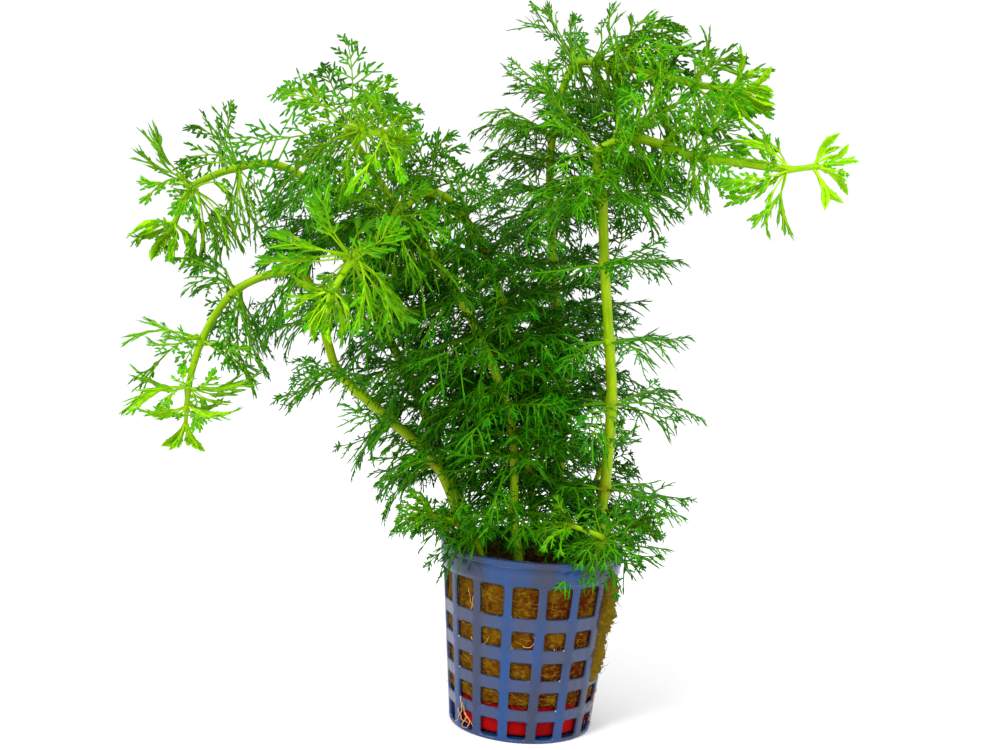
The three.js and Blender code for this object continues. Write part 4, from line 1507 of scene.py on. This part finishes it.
def dress_pot():
    values = {
        "Columns": POT["columns"], "First column": FIRST_COLUMN, "Weld": POT["weld"] * MM,
        "Finish": MATERIALS["pot"],
    }
    wall = grow_mesh("net_pot", pot_column(), TREES["round"], values)
    floor = grow_mesh("pot_floor", floor_column(), TREES["round"], values)
    for mesh in (wall, floor):
        facing_out(mesh)
    mesh = joined("net_pot", [wall, floor])
    mesh.set_sharp_from_angle(angle=math.radians(POT["smooth_to"]))
    add_piece("net_pot", mesh, "pot", "net_pot")


# Rock wool and pad


def ring_of_points(radius_at, heights, around):
    """Rows of points round the pot's axis."""
    turns = [2 * math.pi * i / around for i in range(around)]
    return [[round_place(turn, radius_at(turn, z), z) for turn in turns] for z in heights]


def skinned(name, rows, bottom, top):
    """A closed mesh round rows of points, with a point under them and one over them."""
    around = len(rows[0])
    points = [p for row in rows for p in row] + [bottom, top]
    faces = faces_between(0, len(rows), around)
    last = (len(rows) - 1) * around
    for i in range(around):
        k = (i + 1) % around
        faces.append((len(points) - 2, k, i))
        faces.append((last + i, last + k, len(points) - 1))
    return new_mesh(name, points, faces=faces)


def window_share(turn, z):
    """1 in the middle of a window, falling to 0 at its edges."""
    column = (turn - FIRST_COLUMN) / PITCH
    off = abs(column - round(column)) * PITCH / HALF_WINDOWS[2]
    sideways = np.clip((1.08 - off) / 0.3, 0, 1)
    best = 0.0
    for sill, lintel in zip(POT["sills"], POT["lintels"]):
        inside = min(z - sill, lintel - z)
        best = max(best, np.clip((inside + 0.15) / 0.9, 0, 1))
    return float(sideways * best)


def strip_share(turn, z):
    """1 along the middle of the swollen strip, 0 beside it and beyond its ends."""
    off = (turn - FIRST_COLUMN - WOOL["strip_column"] * PITCH + math.pi) % (2 * math.pi) - math.pi
    across = min(1.0, abs(off) * pot_radius(z) / WOOL["strip_half"])
    inside = WOOL["strip_at"][0] < z < WOOL["strip_at"][-1] + 0.5
    return math.sqrt(1 - across * across) if inside else 0.0


def wool_radius(turn, z):
    r = pot_radius(z) - POT["wall"] - WOOL["slack"]
    place = Vector((math.sin(turn) * r, -math.cos(turn) * r, z))
    lumps = noise.fractal(place * 0.28, 1.0, 2.0, 4)
    fuzz = noise.fractal(place * 1.3 + Vector((9, 3, 5)), 0.8, 2.1, 3)
    opened = window_share(turn, z)
    r += -0.35 + opened * (WOOL["bulge"] + 0.35 + 0.35 * lumps) + (0.1 + 0.15 * opened) * fuzz
    out = strip_share(turn, z) * (np.interp(z, WOOL["strip_at"], WOOL["strip_out"]) + 1.2)
    tufted = noise.fractal(place * 0.8, 0.7, 2.2, 4)
    return max(r, pot_radius(z) - 1.2 + out + (1.1 * tufted + 0.45 * fuzz) * min(1.0, out))


def fibre_object():
    """A bent fibre, 7 mm long and three-sided, lying along X on the surface."""
    points = []
    steps, length, thick = 4, 7.0, 0.07
    for i in range(steps + 1):
        share = i / steps
        x = (share - 0.5) * length
        y = 1.1 * math.sin(share * math.pi)
        z = 0.12 + 0.55 * math.sin(share * math.pi * 1.3)
        radius = thick * (0.5 + math.sin(math.pi * share))
        for k in range(3):
            turn = 2 * math.pi * k / 3
            across, over = y + radius * math.cos(turn), z + radius * math.sin(turn)
            points.append((x * MM, across * MM, over * MM))
    ends = [(0, 2, 1), (3 * steps, 3 * steps + 1, 3 * steps + 2)]
    made = new_mesh("fibre", points, faces=faces_between(0, steps + 1, 3) + ends)
    set_values(made, fibre=1.0)
    facing_out(made)
    return bpy.data.objects.new("fibre", made)


def strands_mesh():
    """Loose strands of the wool and roots, lying in the windows or over the wall."""
    rng = np.random.default_rng(77)
    points, edges, thick = [], [], []
    steps = 14
    for turn, z, length, way, bend, outside in STRANDS:
        turn, way = math.radians(turn), math.radians(way)
        for i in range(steps + 1):
            stand = 0.35 + 0.25 * math.sin(i) if outside else -0.75 + 0.25 * math.sin(1.7 * i)
            r = pot_radius(z) + stand
            points.append(round_place(turn, r, z))
            widest = ROOT_THICK if outside else STRAND_THICK
            thick.append(widest * (1 - 0.7 * (i / steps) ** 2) * MM)
            if i:
                edges.append((len(points) - 2, len(points) - 1))
            turn += length / steps * math.cos(way) / r
            z = max(1.2, z + length / steps * math.sin(way))
            way += math.radians(bend) / steps + rng.normal(0, 0.1)
    made = new_mesh("strands", points, edges)
    set_values(made, thick=thick, root=1.0)
    return grow_mesh("strands", made, TREES["stem"], {"Sides": 5, "Finish": MATERIALS["wool"]})


def dress_wool():
    around = WOOL["around"]
    heights = np.linspace(WOOL["bottom"], WOOL["top"] - WOOL["side_end"], WOOL["rows"])
    rows = ring_of_points(wool_radius, heights, around)
    rings = [
        [(x * size, y * size, (WOOL["top"] - under) * MM) for x, y, _ in rows[-1]]
        for size, under in WOOL["rings"]
    ]
    floor, top = (0, 0, WOOL["bottom"] * MM), (0, 0, WOOL["top"] * MM)
    surface = skinned("rockwool_plug", rows + rings, floor, top)
    fluffy = np.zeros(len(surface.vertices))
    turns = 2 * math.pi * np.arange(around) / around
    fluffy[:len(heights) * around] = [strip_share(turn, z) for z in heights for turn in turns]
    set_values(surface, fluffy=fluffy)
    fibre = fibre_object()
    mesh = grow_mesh("rockwool_plug", surface, TREES["fibres"], {
        "Fibre": fibre, "Density": WOOL["fibres"], "Shortest": 0.3, "Seed": 11,
        "Finish": MATERIALS["wool"],
    })
    bpy.data.objects.remove(fibre)
    mesh = joined("rockwool_plug", [mesh, strands_mesh()])
    piece = add_piece("rockwool_plug", mesh, "wool", "rockwool_plug")


def pad_radius(turn, z):
    """The foam's radius, rounded at its upper and lower edge."""
    edge = PAD["edge"]
    inset = max(0.0, edge - min(z - PAD["bottom"], PAD["top"] - z))
    rounding = edge - math.sqrt(max(0.0, edge * edge - inset * inset))
    place = Vector((math.sin(turn) * 20, -math.cos(turn) * 20, z))
    cells = 0.12 + 0.1 * noise.fractal(place, 1.0, 2.0, 3)
    return pot_radius(z) - POT["wall"] - PAD["slack"] - rounding - cells


def dress_pad():
    shares = 0.5 - 0.5 * np.cos(np.linspace(0, math.pi, PAD["rows"]))
    heights = PAD["bottom"] + (PAD["top"] - PAD["bottom"]) * shares
    rows = ring_of_points(pad_radius, heights, PAD["around"])
    mesh = skinned("red_base_pad", rows, (0, 0, PAD["bottom"] * MM), (0, 0, PAD["top"] * MM))
    set_finish(mesh, MATERIALS["pad"])
    piece = add_piece("red_base_pad", mesh, "pad", "red_base_pad")


# Stage


def set_camera():
    down, roll = math.radians(CAMERA["down"]), math.radians(CAMERA["roll"])
    ahead = Vector((0, math.cos(down), -math.sin(down)))
    right = Vector((1, 0, 0))
    up = right.cross(ahead)
    across = right * math.cos(roll) + up * math.sin(roll)
    upward = up * math.cos(roll) - right * math.sin(roll)
    turn = Matrix((across, upward, -ahead)).transposed().to_4x4()
    camera = placed("camera", bpy.data.cameras.new("camera"))
    camera.data.lens = CAMERA["lens"]
    camera.data.sensor_width = 36.0
    camera.data.clip_start, camera.data.clip_end = 0.01, 20.0
    camera.matrix_world = Matrix.Translation([v * MM for v in CAMERA["place"]]) @ turn
    bpy.context.scene.camera = camera


def add_light(name, place, aim, size, power):
    light = bpy.data.lights.new(name, "AREA")
    light.shape = "DISK"
    light.size = size
    light.energy = power
    made = placed(name, light)
    made.location = place
    made.rotation_euler = (Vector(aim) - Vector(place)).to_track_quat("-Z", "Y").to_euler()


def set_stage():
    disc = bmesh.new()
    bmesh.ops.create_circle(disc, cap_ends=True, segments=96, radius=6.0)
    mesh = bpy.data.meshes.new("floor")
    disc.to_mesh(mesh)
    disc.free()
    mesh.materials.append(MATERIALS["floor"])
    floor = placed("floor", mesh)
    floor.location.z = -0.1 * MM
    world = bpy.data.worlds.new("studio")
    world.use_nodes = True
    background = world.node_tree.nodes["Background"]
    background.inputs["Color"].default_value = (1, 1, 1, 1)
    background.inputs["Strength"].default_value = 1.07
    bpy.context.scene.world = world
    add_light("key", (-0.55, -0.75, 0.95), (-0.01, 0, 0.11), 0.5, 13)
    add_light("fill", (0.8, -0.6, 0.45), (0, 0, 0.1), 0.6, 3)
    bpy.context.scene.view_settings.view_transform = "Standard"


# Making it all

set_camera()
TREES = {"foliage": foliage_tree(), "stem": stem_tree(), "round": round_tree(), "fibres": fibre_tree()}
MATERIALS = {
    "leaf": leaf_material("leaf", paint(72, 158, 1), paint(148, 198, 10)),
    "young_leaf": leaf_material("young_leaf", paint(86, 166, 2), paint(158, 206, 12)),
    "stem": stem_material(),
    "pot": pot_material(),
    "wool": wool_material(),
    "pad": pad_material(),
    "floor": floor_material(),
}
LOBE, BLADE_SECTION = lobe_object(), blade_section()
for number, name in enumerate(STEMS):
    dress_tall_stem(name, number)
for number, name in enumerate(SHOOTS):
    dress_shoot(name, number)
bpy.data.objects.remove(LOBE)
bpy.data.objects.remove(BLADE_SECTION)
dress_pot()
dress_wool()
dress_pad()
set_stage()
